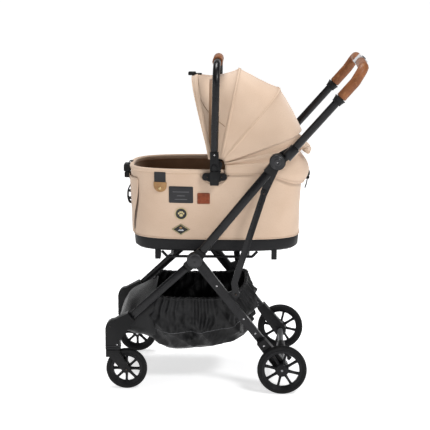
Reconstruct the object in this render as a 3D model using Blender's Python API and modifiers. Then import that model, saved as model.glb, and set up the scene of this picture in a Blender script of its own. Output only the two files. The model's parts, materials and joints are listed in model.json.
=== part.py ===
"""Folding pet stroller with a lift-off carrier, a carry handle and a folding canopy.

Frame: metres, +Z up, origin on the floor under the middle of the object. -Y is the front
(the swivel casters), +Y is the rear (the push handle), +X is the stroller's left side.
Run with: blender --background --python part.py
"""

import math

import bmesh
import bpy
from mathutils import Matrix, Quaternion, Vector

# ---------------------------------------------------------------- driving dimensions
GAP = 0.0003                       # clearance between pieces that touch

# Side view of the frame, as (y, z).
HUB = (-0.123, 0.413)              # rear legs pivot here on the side frames
FOLD = (0.125, 0.717)              # the push handle folds forward about this pin
ARM_PIN = (0.085, 0.618)           # upper end of the fold link, on the handle's arm
LEG_PIN = (0.002, 0.304)           # lower end of the fold link, on the rear leg's lug
LINK_KNEE = (-0.003, 0.340)        # the link bends here to meet the lug
LEG_TIP = (-0.319, 0.232)          # front leg enters the caster housing
REAR_AXLE = (0.144, 0.076)
REAR_LEG_TIP = (0.078, 0.1593)     # rear leg enters its foot

# Layers across the width, as distances from the middle.
SIDE_X = 0.2105                    # push tubes and the tops of the front legs
CASTER_X = 0.195
LEG_LAYER = (0.1840, 0.1995)       # rear legs
FOOT_LAYER = (0.1850, 0.2200)      # feet at the rear axle
ARM_LAYER = (0.1885, 0.1960)       # lower arms of the handle
LINK_LAYER = (0.2010, 0.2055)      # fold links
HOUSING_LAYER = (0.2005, 0.2250)   # hubs and fold housings
PIN_START = 0.1825                 # inner end of the pins at the hub

# Frame tubes are flattened: full radius in the side view, less across.
PUSH_TUBE_R = 0.0135
FRONT_LEG_R = 0.0125
TUBE_FLATTEN = 0.75
HUB_R = 0.0245
PIVOT_PIN_R = 0.0060
LINK_PIN_R = 0.0040
LINK_HALF_WIDTH = 0.0100
RUNNING_GAP = 0.0004
LEAN_GAP = 0.0014                  # the front legs lean inwards, so their ends aren't square

# Wheels. A tyre rests on one facet, so its crown radius is the axle height over a cosine.
WHEEL_STEPS = 32
REAR_TRACK_X = 0.235
CASTER_Y = -0.377
CASTER_TRAIL = 0.041
FRONT_AXLE_Z = 0.0635
WHEEL_WIDTH = 0.024
RIM_HALF = 0.0085
TYRE_DEPTH = 0.0125
SPOKES = 8
REAR_SPOKE_TURN = 32.0             # first spoke's angle, in degrees
FRONT_SPOKE_TURN = -1.0
AXLE_R = 0.0040
REAR_TUBE_R = 0.0090
BRAKE_SLEEVE_R = 0.0135
BRAKE_HALF = 0.034
BRAKE_PADDLE = (0.0115, 0.042)     # reach of the pedal from the axle
BRAKE_TILT = math.radians(42)      # how far it hangs below the level
CASTER_TOP_Z = 0.220
CASTER_BOTTOM_Z = 0.128
FORK_TOP_Z = 0.1255
STEM_R = 0.0060

# Push handle, in the side view.
HANDLE_X = 0.2000
HANDLE_R = 0.0120
HANDLE_START = (0.1551, 0.7316)
HANDLE_KNEE = (0.3520, 0.9545)
HANDLE_TOP = (0.3775, 0.9945)
HANDLE_CORNER_R = 0.026
SLEEVE_WALL = 0.0040               # socket of the handle arm round the tube
GRIP_WALL = 0.0034
COLLAR_Y = (0.296, 0.311)
RELEASE_HALF = 0.031
RELEASE_R = 0.0152

# Carrier: a rounded rectangular tub on a tray with feet.
CARRIER_Y = -0.0635
RIM_Z = 0.670
FLOOR_Z = 0.461
TRAY_Z = (0.4225, 0.4600)
TRAY_RINGS = (                     # height, half width, half length
    (TRAY_Z[0], 0.1310, 0.2490),
    (TRAY_Z[0] + 0.006, 0.1370, 0.2565),
    (TRAY_Z[1], 0.1392, 0.2590),
)
TRAY_WALL = 0.003
CARRIER_RINGS = (                  # height, half width, half length
    (FLOOR_Z, 0.138, 0.2578),
    (0.560, 0.143, 0.2600),
    (RIM_Z, 0.147, 0.2665),
)
PLAN_POWER = 0.62                  # squareness of the tub's plan
WALL = 0.004
FOOT_Z = 0.392
FOOT_X = 0.095
FOOT_Y = (-0.243, 0.118)
FOOT_HALF = (0.016, 0.0085)        # across and along
CUSHION_RINGS = (                  # height above the floor, half width, half length
    (0.001, 0.120, 0.236),
    (0.009, 0.129, 0.245),
    (0.021, 0.129, 0.245),
    (0.030, 0.116, 0.232),
)
CUSHION_STEPS = 32
RIM_R = 0.0048
CRADLE_Z = 0.4010
CRADLE_X = 0.112
CRADLE_Y = (-0.214, 0.050)

# Carry handle over the carrier.
BAIL_PIVOT = (-0.065, 0.693)
BAIL_X = 0.1720
BAIL_R = 0.0112
BAIL_TOP_Z = 0.9995
BAIL_TOP_Y = -0.059
BAIL_FOOT_Z = 0.7395
BAIL_CORNER_R = 0.065
BAIL_GRIP_HALF = 0.062
MOUNT_LAYER = (0.1600, 0.1690)
MOUNT_BASE_LAYER = (0.1495, 0.1640)
MOUNT_BOSS_LAYER = (0.1665, 0.1800)
MOUNT_BASE_HALF = 0.027
MOUNT_BOSS_HALF = (0.0135, 0.0105) # at its top and at its foot
CANOPY_PIN_X = (0.1330, 0.1650)
BUTTON_LAYER = (0.1725, 0.1830)
KNUCKLE_LAYER = (0.1697, 0.1800)
BUTTON_R = 0.0085

# Canopy bows turn about one axis. Angles are from the rear, upwards, in degrees.
CANOPY_PIVOT = (-0.049, 0.701)
BOW_R = 0.0035
BOW_ANGLES = {"rear": 49.4, "middle": 78.2, "front": 107.6}
BOW_REACH = {"rear": 0.272, "middle": 0.272, "front": 0.260}
BOW_HALF_WIDTH = {"rear": 0.1355, "middle": 0.1430, "front": 0.1505}
HEM_ANGLE = 18.4
HEM_REACH = 0.259
FRONT_OVERHANG = 2.3
FABRIC_HALF_WIDTH = 0.1555
FABRIC_CLEAR = 0.0050
FABRIC_START = 0.014               # distance of the fabric's ends from the pivot
FABRIC = 0.0018
FRONT_FORE = (0.028, 0.026)        # how far the ends of the front edge stand forward
ARCH_POWER = 0.72

# Storage basket under the carrier.
BASKET_WALL = 0.0025
BASKET_PLAN = 0.55                 # squareness of its plan
BASKET_STEPS = 32
BASKET_LEVELS = (                  # height, half width, front, rear
    (0.106, 0.105, -0.235, 0.000),
    (0.122, 0.148, -0.262, 0.036),
    (0.170, 0.170, -0.322, 0.062),
    (0.225, 0.176, -0.332, 0.068),
    (0.280, 0.174, -0.298, 0.036),
)
BASKET_LOWEST = (0, -0.125, 0.101)
BASKET_REAR_RISE = 0.026
BASKET_HEM_RISE = 0.030
BASKET_UNDER_LEGS = 0.013

COLOURS = {                        # rgb, roughness, metallic
    "frame_black": ((0.020, 0.020, 0.022), 0.38, 0.55),
    "plastic_black": ((0.018, 0.018, 0.020), 0.48, 0.0),
    "tyre_black": ((0.012, 0.012, 0.013), 0.80, 0.0),
    "wheel_black": ((0.020, 0.020, 0.022), 0.45, 0.0),
    "steel": ((0.45, 0.45, 0.47), 0.32, 1.0),
    "leather": ((0.33, 0.10, 0.035), 0.55, 0.0),
    "beige_fabric": ((0.64, 0.47, 0.34), 0.85, 0.0),
    "tray_grey": ((0.028, 0.028, 0.030), 0.60, 0.0),
    "basket_mesh": ((0.015, 0.015, 0.017), 0.90, 0.0),
    "cushion_brown": ((0.20, 0.10, 0.055), 0.90, 0.0),
    "release_grey": ((0.42, 0.42, 0.43), 0.40, 0.1),
}

# ---------------------------------------------------------------- scene set-up
for old in list(bpy.data.objects):
    bpy.data.objects.remove(old, do_unlink=True)
PARTS = bpy.data.collections.new("pet_stroller")
CUTTERS = bpy.data.collections.new("cutters")
for collection in (PARTS, CUTTERS):
    bpy.context.scene.collection.children.link(collection)
PIVOTS = {}
MATERIALS = {}


def material(name):
    """The Principled material of one colour entry, made on first use."""
    if name not in MATERIALS:
        colour, roughness, metallic = COLOURS[name]
        made = bpy.data.materials.new(name)
        made.use_nodes = True
        shader = made.node_tree.nodes["Principled BSDF"]
        shader.inputs["Base Color"].default_value = (*colour, 1.0)
        shader.inputs["Roughness"].default_value = roughness
        shader.inputs["Metallic"].default_value = metallic
        MATERIALS[name] = made
    return MATERIALS[name]


def pivot(name, point, parent=None):
    """An empty on a joint's axis, which carries the pieces that move about it."""
    empty = bpy.data.objects.new(name, None)
    empty.empty_display_size = 0.03
    PARTS.objects.link(empty)
    PIVOTS[name] = Vector(point)
    empty.location = PIVOTS[name]
    if parent:
        empty.parent = bpy.data.objects[parent]
        empty.location = PIVOTS[name] - PIVOTS[parent]


def place(obj, colour, pivot_name):
    """Give a piece its material and hang it on its pivot, with its origin on the axis."""
    obj.data.materials.clear()
    obj.data.materials.append(material(colour))
    centre = PIVOTS[pivot_name]
    if obj.location.length < 1e-9 and obj.type == "MESH":
        obj.data.transform(Matrix.Translation(-centre))
    else:
        obj.location -= centre
    obj.parent = bpy.data.objects[pivot_name]
    return obj


def as_guide(obj):
    """Turn a piece into a Boolean operand that isn't part of the model."""
    for collection in list(obj.users_collection):
        collection.objects.unlink(obj)
    CUTTERS.objects.link(obj)
    obj.hide_render = True
    obj.display_type = "WIRE"


def combine(obj, others, operation="UNION"):
    """Add other solids to one piece, or cut them out of it."""
    for other in others:
        as_guide(other)
        boolean = obj.modifiers.new(operation.lower(), "BOOLEAN")
        boolean.operation = operation
        boolean.solver = "EXACT"
        boolean.object = other
    return obj


# ---------------------------------------------------------------- outlines and paths
def circle(centre, radius, steps=16):
    """Points around a circle in the side view."""
    turns = [2 * math.pi * step / steps for step in range(steps)]
    return [(centre[0] + radius * math.cos(a), centre[1] + radius * math.sin(a)) for a in turns]


def hull(shapes):
    """The convex outline around (centre, radius) circles and single points."""
    points = []
    for centre, radius in shapes:
        points += circle(centre, radius, 20) if radius > 0 else [centre]
    points = sorted(set(points))
    chain = []
    for run in (points, points[::-1]):
        half = []
        for point in run:
            while len(half) > 1 and turn(half[-2], half[-1], point) <= 1e-12:
                half.pop()
            half.append(point)
        chain += half[:-1]
    return chain


def turn(a, b, c):
    """Twice the signed area of a triangle."""
    return (b[0] - a[0]) * (c[1] - a[1]) - (b[1] - a[1]) * (c[0] - a[0])


def band(points, half_width, steps=6):
    """Outline of a bent strap with round ends, along points in the side view."""
    path = [Vector(point) for point in points]
    sides = []
    for index, point in enumerate(path):
        before = (point - path[index - 1]).normalized() if index else None
        after = (path[index + 1] - point).normalized() if index + 1 < len(path) else None
        along = ((before or after) + (after or before)).normalized()
        bend = along.dot(before or after)
        sides.append((point, Vector((-along.y, along.x)) * half_width / bend, along))
    outline = [point + normal for point, normal, _ in sides]
    outline += end_arc(sides[-1], half_width, steps)
    outline += [point - normal for point, normal, _ in reversed(sides)]
    outline += end_arc((sides[0][0], -sides[0][1], -sides[0][2]), half_width, steps)
    return [tuple(point) for point in outline]


def end_arc(side, half_width, steps):
    """The inner points of the half circle that closes a strap's end."""
    point, normal, along = side
    arcs = [math.pi * step / steps for step in range(1, steps)]
    return [point + normal * math.cos(a) + along * half_width * math.sin(a) for a in arcs]


def rounded_path(corners, radius, steps=6):
    """Points through 3-D corners, each inner corner rounded to a radius."""
    corners = [Vector(corner) for corner in corners]
    path = [corners[0]]
    for before, corner, after in zip(corners, corners[1:], corners[2:]):
        to_before = (before - corner).normalized()
        to_after = (after - corner).normalized()
        half_angle = to_before.angle(to_after) / 2
        start = corner + to_before * radius / math.tan(half_angle)
        centre = corner + (to_before + to_after).normalized() * radius / math.sin(half_angle)
        spoke = start - centre
        axis = spoke.cross(-to_before)
        sweep = math.pi - 2 * half_angle
        for step in range(steps + 1):
            path.append(centre + Quaternion(axis, sweep * step / steps) @ spoke)
    path.append(corners[-1])
    return path


def along(start, end, distance):
    """A point at a distance from start towards end, in the side view."""
    start, end = Vector(start), Vector(end)
    return tuple(start + (end - start).normalized() * distance)


def mirrored(path):
    """A half path that ends in the middle plane, continued to the other side."""
    other = [Vector((-point.x, point.y, point.z)) for point in reversed(path)]
    return path + [point for point in other if point.x < -1e-6]


# ---------------------------------------------------------------- solids
def new_object(name, data):
    """Link a new object to the parts."""
    obj = bpy.data.objects.new(name, data)
    PARTS.objects.link(obj)
    return obj


def to_mesh(obj, stretch=None):
    """Replace a curve by the welded mesh of its surface, in world coordinates."""
    bpy.context.view_layer.update()
    graph = bpy.context.evaluated_depsgraph_get()
    mesh = bpy.data.meshes.new_from_object(obj.evaluated_get(graph))
    mesh.transform(obj.matrix_world)
    if stretch:
        mesh.transform(stretch)
    name = obj.name
    bpy.data.objects.remove(obj)
    shell = bmesh.new()
    shell.from_mesh(mesh)
    bmesh.ops.remove_doubles(shell, verts=shell.verts, dist=1e-5)
    bmesh.ops.recalc_face_normals(shell, faces=shell.faces)
    shell.to_mesh(mesh)
    shell.free()
    mesh.shade_smooth()
    mesh.set_sharp_from_angle(angle=math.radians(40))
    return new_object(name, mesh)


def tube(name, path, radius, sides=12, wall=0.0, closed=False):
    """A round bar along a path, or a sleeve of a wall thickness around it."""
    curve = bpy.data.curves.new(name, "CURVE")
    curve.dimensions = "3D"
    curve.bevel_depth = radius
    curve.bevel_resolution = sides // 2 - 2
    curve.use_fill_caps = wall == 0.0
    spline = curve.splines.new("POLY")
    spline.points.add(len(path) - 1)
    for point, where in zip(spline.points, path):
        point.co = (*where, 1.0)
    spline.use_cyclic_u = closed
    obj = to_mesh(new_object(name, curve))
    if wall:
        thicken(obj, wall, outwards=True)
    return obj


def thicken(obj, wall, outwards):
    """Give an open surface a wall on the side its faces point to, or behind them."""
    solidify = obj.modifiers.new("wall", "SOLIDIFY")
    solidify.thickness = wall
    solidify.offset = 1.0 if outwards else -1.0
    solidify.use_even_offset = True
    return obj


def flat_tube(name, path, radius):
    """A bar that is flattened across, such as an oval frame tube."""
    obj = tube(name, path, radius)
    middle = sum((Vector(point) for point in path), Vector()) / len(path)
    squeeze = Matrix.Scale(TUBE_FLATTEN, 4, (1, 0, 0))
    shear = Matrix.Translation(middle) @ squeeze @ Matrix.Translation(-middle)
    slope = (path[-1][0] - path[0][0]) / (Vector(path[-1]) - Vector(path[0])).length
    obj.data.transform(shear)
    if abs(slope) > 1e-6:
        restore_lean(obj, path)
    return obj


def restore_lean(obj, path):
    """Move each end of a squeezed bar back onto its own end point."""
    first, last = Vector(path[0]), Vector(path[-1])
    run = (last - first).yz
    middle_x = sum(point[0] for point in path) / len(path)
    for vertex in obj.data.vertices:
        share = (vertex.co.yz - first.yz).dot(run) / run.length_squared
        wanted = first.x + (last.x - first.x) * share
        vertex.co.x += (wanted - middle_x) * (1 - TUBE_FLATTEN)


def plate(name, side, layer, outline, holes=()):
    """A flat piece in the side view, between two distances from the middle."""
    curve = bpy.data.curves.new(name, "CURVE")
    curve.dimensions = "2D"
    curve.fill_mode = "BOTH"
    curve.extrude = (layer[1] - layer[0]) / 2
    for loop in (outline, *holes):
        spline = curve.splines.new("POLY")
        spline.points.add(len(loop) - 1)
        for point, where in zip(spline.points, loop):
            point.co = (where[0], where[1], 0.0, 1.0)
        spline.use_cyclic_u = True
    obj = new_object(name, curve)
    upright = Matrix(((0, 0, 1), (1, 0, 0), (0, 1, 0))).to_4x4()
    obj.matrix_world = Matrix.Translation((side * sum(layer) / 2, 0, 0)) @ upright
    return to_mesh(obj)


def turned(name, profile, centre, steps=24, axis="X", half_step=False):
    """A turned piece: (radius, distance along the axis), down its outer side."""
    mesh = bpy.data.meshes.new(name)
    closed = profile[0][0] > 0
    edges = [(index, index + 1) for index in range(len(profile) - 1)]
    if closed:
        edges.append((len(profile) - 1, 0))
    mesh.from_pydata([(radius, 0.0, height) for radius, height in profile], edges, [])
    obj = new_object(name, mesh)
    screw = obj.modifiers.new("turn", "SCREW")
    screw.steps = screw.render_steps = steps
    screw.use_merge_vertices = True
    screw.merge_threshold = 0.00001
    screw.use_smooth_shade = True
    start = Quaternion((0, 0, 1), math.pi / steps if half_step else 0.0)
    lay = Quaternion((0, 1, 0), math.pi / 2 if axis == "X" else 0.0)
    obj.rotation_mode = "QUATERNION"
    obj.rotation_quaternion = lay @ start
    obj.location = centre
    return obj


def rod(name, start, end, radius, steps=16):
    """A straight round bar between two points."""
    start, end = Vector(start), Vector(end)
    mesh = bpy.data.meshes.new(name)
    shell = bmesh.new()
    bmesh.ops.create_cone(shell, cap_ends=True, segments=steps, radius1=radius,
                          radius2=radius, depth=(end - start).length)
    spin = (end - start).to_track_quat("Z", "Y").to_matrix().to_4x4()
    shell.transform(Matrix.Translation((start + end) / 2) @ spin)
    shell.to_mesh(mesh)
    shell.free()
    mesh.shade_smooth()
    mesh.set_sharp_from_angle(angle=math.radians(40))
    return new_object(name, mesh)


def box(name, low, high, bevel=0.0, spin=None):
    """A box between two corners, turned about its middle and with rounded edges."""
    low, high = Vector(low), Vector(high)
    mesh = bpy.data.meshes.new(name)
    shell = bmesh.new()
    bmesh.ops.create_cube(shell, size=1.0)
    size = Matrix.Diagonal((*(high - low), 1.0))
    shell.transform(Matrix.Translation((low + high) / 2) @ (spin or Matrix()) @ size)
    shell.to_mesh(mesh)
    shell.free()
    obj = new_object(name, mesh)
    if bevel:
        rounding = obj.modifiers.new("round", "BEVEL")
        rounding.width = bevel
        rounding.segments = 2
    return obj


def surface(name, rows, closed=False, fan=None):
    """An open surface through rows of points, with a fan of faces at its first row."""
    mesh = bpy.data.meshes.new(name)
    shell = bmesh.new()
    grid = [[shell.verts.new(point) for point in row] for row in rows]
    count = len(rows[0])
    last = count if closed else count - 1
    for lower, upper in zip(grid, grid[1:]):
        for index in range(last):
            after = (index + 1) % count
            shell.faces.new((lower[index], lower[after], upper[after], upper[index]))
    if fan:
        middle = shell.verts.new(fan)
        for index in range(last):
            shell.faces.new((middle, grid[0][(index + 1) % count], grid[0][index]))
    bmesh.ops.recalc_face_normals(shell, faces=shell.faces)
    shell.to_mesh(mesh)
    shell.free()
    mesh.shade_smooth()
    return new_object(name, mesh)


def power(value, exponent):
    """A signed power, for rounded rectangles and arches."""
    return math.copysign(abs(value) ** exponent, value)


def plan_ring(z, half_width, half_length, centre_y=CARRIER_Y, exponent=PLAN_POWER, steps=36):
    """A rounded rectangle at one height."""
    turns = [2 * math.pi * (step + 0.5) / steps for step in range(steps)]
    return [(half_width * power(math.cos(a), exponent),
             centre_y + half_length * power(math.sin(a), exponent), z) for a in turns]


# ---------------------------------------------------------------- main frame
def push_tube(side, label):
    start = along(FOLD, HUB, 0.046)
    end = along(HUB, FOLD, HUB_R + 0.010)
    path = [(side * SIDE_X, *start), (side * SIDE_X, *end)]
    return place(flat_tube(f"push_tube_{label}", path, PUSH_TUBE_R), "frame_black", "frame")


def front_leg(side, label):
    start = along(HUB, LEG_TIP, HUB_R + 0.010 + LEAN_GAP)
    end = along(LEG_TIP, HUB, LEAN_GAP)
    path = [(side * SIDE_X, *start), (side * (CASTER_X + 0.004), *end)]
    return place(flat_tube(f"front_leg_{label}", path, FRONT_LEG_R), "frame_black", "frame")


def hub_housing(side, label):
    """The casting at the hub, with sockets for both tubes and a pin for the rear leg."""
    reach = HUB_R + 0.010 - GAP
    up, down = along(HUB, FOLD, reach), along(HUB, LEG_TIP, reach)
    casting = plate(f"hub_housing_{label}", side, HOUSING_LAYER,
                        circle(HUB, HUB_R, 24))
    sockets = [socket(side, HUB, tip, width) for tip, width in ((up, 0.0155), (down, 0.0145))]
    pin = rod("hub_pin", (side * PIN_START, *HUB), (side * SIDE_X, *HUB), PIVOT_PIN_R)
    return place(combine(casting, [*sockets, pin]), "plastic_black", "frame")


def socket(side, centre, tip, half_width, layer=(0.2025, 0.2225)):
    """A square stub of a casting, from its centre to a tube's end."""
    run = (Vector(tip) - Vector(centre)).normalized()
    across = Vector((-run.y, run.x)) * half_width
    corners = [Vector(centre) + across, Vector(centre) - across,
               Vector(tip) - across, Vector(tip) + across]
    return plate("socket", side, layer, [tuple(corner) for corner in corners])


def fold_housing(side, label):
    """The hinge casting on top of the push tube, with the pin the handle turns on."""
    tip = along(FOLD, HUB, 0.046 - GAP)
    casting = plate(f"fold_housing_{label}", side, HOUSING_LAYER, circle(FOLD, HUB_R, 24))
    pin = rod("fold_pin", (side * (ARM_LAYER[0] - 0.001), *FOLD), (side * SIDE_X, *FOLD),
              PIVOT_PIN_R)
    return place(combine(casting, [socket(side, FOLD, tip, 0.0155), pin]),
                 "plastic_black", "frame")


def caster_housing(side, label):
    """The upright moulding on a front leg, bored for the caster's stem."""
    layer = (CASTER_X - 0.019, CASTER_X + 0.019)
    run = (Vector(LEG_TIP) - Vector(HUB)).normalized()
    face = Vector(LEG_TIP) + run * GAP
    across = Vector((-run.y, run.x)) * 0.016
    front, back = CASTER_Y - 0.022, CASTER_Y + 0.022
    outline = [
        tuple(face - across), tuple(face + across), (back, CASTER_BOTTOM_Z + 0.030),
        (back, CASTER_BOTTOM_Z), (front, CASTER_BOTTOM_Z), (front, CASTER_TOP_Z - 0.026),
    ]
    outline += [(front + 0.026 * (1 - math.cos(a)), CASTER_TOP_Z - 0.026 * (1 - math.sin(a)))
                for a in (math.pi / 8, math.pi / 4, 3 * math.pi / 8, math.pi / 2)]
    body = plate(f"caster_housing_{label}", side, layer, outline)
    bore = rod("stem_bore", (side * CASTER_X, CASTER_Y, CASTER_BOTTOM_Z - 0.01),
               (side * CASTER_X, CASTER_Y, 0.1900), STEM_R + RUNNING_GAP)
    return place(combine(body, [bore], "DIFFERENCE"), "plastic_black", "frame")


def front_cross_tube():
    """The tube between the two caster housings."""
    reach = CASTER_X - 0.019 - GAP
    where = (CASTER_Y + 0.020, 0.190)
    bar = rod("front_cross_tube", (-reach, *where), (reach, *where), 0.009)
    return place(bar, "frame_black", "frame")


def carrier_cradle():
    """Cross tube at the hub with two rods that the carrier's tray rests on."""
    rise, drop = TRAY_Z[0] - GAP - 0.0045, CRADLE_Z
    reach = PIN_START - GAP
    cross = rod("carrier_cradle", (-reach, HUB[0], HUB[1] - 0.001),
                (reach, HUB[0], HUB[1] - 0.001), 0.0090)
    rails = []
    for side in (1, -1):
        path = rounded_path([
            (side * CRADLE_X, CRADLE_Y[0] - 0.016, rise), (side * CRADLE_X, CRADLE_Y[0], drop),
            (side * CRADLE_X, CRADLE_Y[1], drop), (side * CRADLE_X, CRADLE_Y[1] + 0.016, rise),
        ], 0.008, 3)
        rails.append(tube("cradle_rail", path, 0.0045, sides=8))
    for y in CRADLE_Y:
        inward = 0.012 if y < HUB[0] else -0.012
        rails.append(rod("cradle_bar", (-CRADLE_X, y + inward, drop), (CRADLE_X, y + inward, drop),
                         0.0040, 8))
    return place(combine(cross, rails), "frame_black", "frame")


# ---------------------------------------------------------------- wheels
def rim(name, centre, radius, hub_radius, first_spoke, colour_pivot):
    """Wheel centre with spokes, as one plate with windows."""
    outer = radius - TYRE_DEPTH - 2 * GAP
    inner = outer - 0.0055
    holes = [circle((0, 0), AXLE_R + RUNNING_GAP, 12)]
    half_spoke = 0.0021
    for spoke in range(SPOKES):
        start = math.radians(first_spoke) + 2 * math.pi * spoke / SPOKES
        end = start + 2 * math.pi / SPOKES
        window = []
        for reach, count, backwards in ((hub_radius, 3, False), (inner, 5, True)):
            trim = math.asin(half_spoke / reach)
            arc = [start + trim + (end - start - 2 * trim) * k / (count - 1) for k in range(count)]
            arc = arc[::-1] if backwards else arc
            window += [(reach * math.cos(a), reach * math.sin(a)) for a in arc]
        holes.append(window)
    outline = circle((0, 0), outer, WHEEL_STEPS)
    body = plate(name, 1, (-RIM_HALF, RIM_HALF), outline, holes)
    body.location = centre
    return place(body, "wheel_black", colour_pivot)


def tyre(name, centre, axle_height, colour_pivot):
    """Tyre with a rounded crown. It stands on one facet."""
    crown = axle_height / math.cos(math.pi / WHEEL_STEPS)
    inner = axle_height - TYRE_DEPTH
    half = WHEEL_WIDTH / 2
    profile = [
        (inner, 0.75 * half), (inner + 0.004, half), (crown - 0.0045, half),
        (crown, 0.45 * half), (crown, -0.45 * half), (crown - 0.0045, -half),
        (inner + 0.004, -half),
        (inner, -0.75 * half),
    ]
    body = turned(name, profile, centre, WHEEL_STEPS, half_step=True)
    return place(body, "tyre_black", colour_pivot)


def caster(side, label):
    """Swivel fork with its stem, the axle and the front wheel."""
    x, axle_y = side * CASTER_X, CASTER_Y + CASTER_TRAIL
    swivel, spin = f"swivel_{label}", f"front_spin_{label}"
    axle = (axle_y, FRONT_AXLE_Z)
    pivot(swivel, (x, CASTER_Y, 0.0), "frame")
    pivot(spin, (x, *axle), swivel)
    gap_half = WHEEL_WIDTH / 2 + 0.0018
    outer = gap_half + 0.0052
    crown = box(f"caster_fork_{label}", (x - outer, CASTER_Y - 0.0215, 0.1305 - 0.0265),
                (x + outer, CASTER_Y + 0.0215, FORK_TOP_Z))
    tine = hull([((CASTER_Y - 0.0150, 0.118), 0.0060), ((CASTER_Y + 0.0150, 0.118), 0.0060),
                 (axle, 0.0115)])
    tines = []
    for sign in (1, -1):
        layer = sorted((sign * (gap_half + 0.0002), sign * (outer - 0.0002)))
        piece = plate("tine", 1, layer, tine, [circle(axle, AXLE_R + GAP, 12)])
        piece.location.x = x
        tines.append(piece)
    stem = rod("stem", (x, CASTER_Y, 0.120), (x, CASTER_Y, 0.184), STEM_R)
    fork = combine(crown, [*tines, stem])
    wheel_room = rod("wheel_room", (x - gap_half, *axle), (x + gap_half, *axle),
                     FRONT_AXLE_Z + 0.0035, 32)
    place(combine(fork, [wheel_room], "DIFFERENCE"), "plastic_black", swivel)
    rim(f"front_rim_{label}", (x, *axle), FRONT_AXLE_Z, 0.0120, FRONT_SPOKE_TURN, spin)
    tyre(f"front_tyre_{label}", (x, *axle), FRONT_AXLE_Z, spin)
    place(rod(f"front_axle_{label}", (x - outer - 0.001, *axle), (x + outer + 0.001, *axle),
              AXLE_R, 12), "steel", swivel)


def rear_wheel(side, label):
    x = side * REAR_TRACK_X
    spin = f"rear_spin_{label}"
    pivot(spin, (x, *REAR_AXLE), "rear_legs")
    rim(f"rear_rim_{label}", (x, *REAR_AXLE), REAR_AXLE[1], 0.0150, REAR_SPOKE_TURN, spin)
    tyre(f"rear_tyre_{label}", (x, *REAR_AXLE), REAR_AXLE[1], spin)


# ---------------------------------------------------------------- rear legs
def rear_leg(side, label):
    """Flat bar with an eye on the hub pin and a lug for the fold link."""
    run = (Vector(REAR_LEG_TIP) - Vector(HUB)).normalized()
    across = Vector((-run.y, run.x)) * 0.0120
    tip = Vector(REAR_LEG_TIP)
    outline = hull([(HUB, 0.0150), (tuple(tip + across), 0), (tuple(tip - across), 0)])
    eye = circle(HUB, PIVOT_PIN_R + RUNNING_GAP)
    bar = plate(f"rear_leg_{label}", side, LEG_LAYER, outline, [eye])
    foot = Vector(HUB) + run * (Vector(LEG_PIN) - Vector(HUB)).dot(run)
    lug = plate("lug", side, (LEG_LAYER[0] + 0.002, LEG_LAYER[1] - 0.002),
                hull([(LEG_PIN, 0.0110), (tuple(foot - run * 0.022), 0.002),
                      (tuple(foot + run * 0.022), 0.002)]))
    pin = rod("link_pin", (side * 0.1900, *LEG_PIN), (side * (LINK_LAYER[1] + 0.0008), *LEG_PIN),
              LINK_PIN_R, 12)
    return place(combine(bar, [lug, pin]), "frame_black", "rear_legs")


def rear_foot(side, label):
    """Moulding that closes the rear leg and holds the axle."""
    run = (Vector(REAR_LEG_TIP) - Vector(HUB)).normalized()
    across = Vector((-run.y, run.x)) * 0.0145
    top = Vector(REAR_LEG_TIP) + run * GAP
    outline = hull([(REAR_AXLE, 0.0195), (tuple(top + across), 0), (tuple(top - across), 0)])
    bore = circle(REAR_AXLE, AXLE_R + RUNNING_GAP, 12)
    body = plate(f"rear_foot_{label}", side, FOOT_LAYER, outline, [bore])
    return place(body, "plastic_black", "rear_legs")


def rear_axle():
    """Stepped shaft: a cross tube between the feet, thinner through feet and wheels."""
    inner, outer = FOOT_LAYER[0] - GAP, REAR_TRACK_X + WHEEL_WIDTH / 2 + 0.001
    profile = [(0.0, outer), (AXLE_R, outer), (AXLE_R, inner), (REAR_TUBE_R, inner),
               (REAR_TUBE_R, -inner), (AXLE_R, -inner), (AXLE_R, -outer), (0.0, -outer)]
    body = turned("rear_axle", profile, (0, *REAR_AXLE), 16)
    return place(body, "frame_black", "rear_legs")


def brake_pedal():
    """Foot pedal that turns on the cross tube and locks both rear wheels."""
    pivot("brake_pivot", (0, *REAR_AXLE), "rear_legs")
    bore = REAR_TUBE_R + RUNNING_GAP
    profile = [(BRAKE_SLEEVE_R, BRAKE_HALF), (BRAKE_SLEEVE_R, -BRAKE_HALF),
               (bore, -BRAKE_HALF), (bore, BRAKE_HALF)]
    sleeve = turned("brake_pedal", profile, (0, *REAR_AXLE), 20)
    axle = Matrix.Translation((0, *REAR_AXLE))
    tilt = axle @ Matrix.Rotation(-BRAKE_TILT, 4, "X")
    start, end = BRAKE_PADDLE
    paddle = box("paddle", (-BRAKE_HALF, start, -0.004), (BRAKE_HALF, end, 0.004))
    lip = box("lip", (-BRAKE_HALF, end - 0.008, -0.010), (BRAKE_HALF, end + 0.001, 0.004))
    for piece in (paddle, lip):
        piece.data.transform(tilt)
    return place(combine(sleeve, [paddle, lip]), "release_grey", "brake_pivot")


def fold_link(side, label):
    """Bent strap from the handle's arm down to the rear leg's lug."""
    holes = [circle(pin, LINK_PIN_R + RUNNING_GAP, 12) for pin in (ARM_PIN, LEG_PIN)]
    outline = band([ARM_PIN, LINK_KNEE, LEG_PIN], LINK_HALF_WIDTH)
    body = plate(f"fold_link_{label}", side, LINK_LAYER, outline, holes)
    return place(body, "frame_black", "link_pivot")


# ---------------------------------------------------------------- push handle
def handle_line():
    """The half centre line with a gentle knee and a round corner."""
    knee = [(HANDLE_X, *HANDLE_START), (HANDLE_X, *HANDLE_KNEE),
            (HANDLE_X - 0.014, *HANDLE_TOP), (0.0, HANDLE_TOP[0] + 0.002, HANDLE_TOP[1] + 0.002)]
    return rounded_path(knee, HANDLE_CORNER_R, 5)


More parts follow.
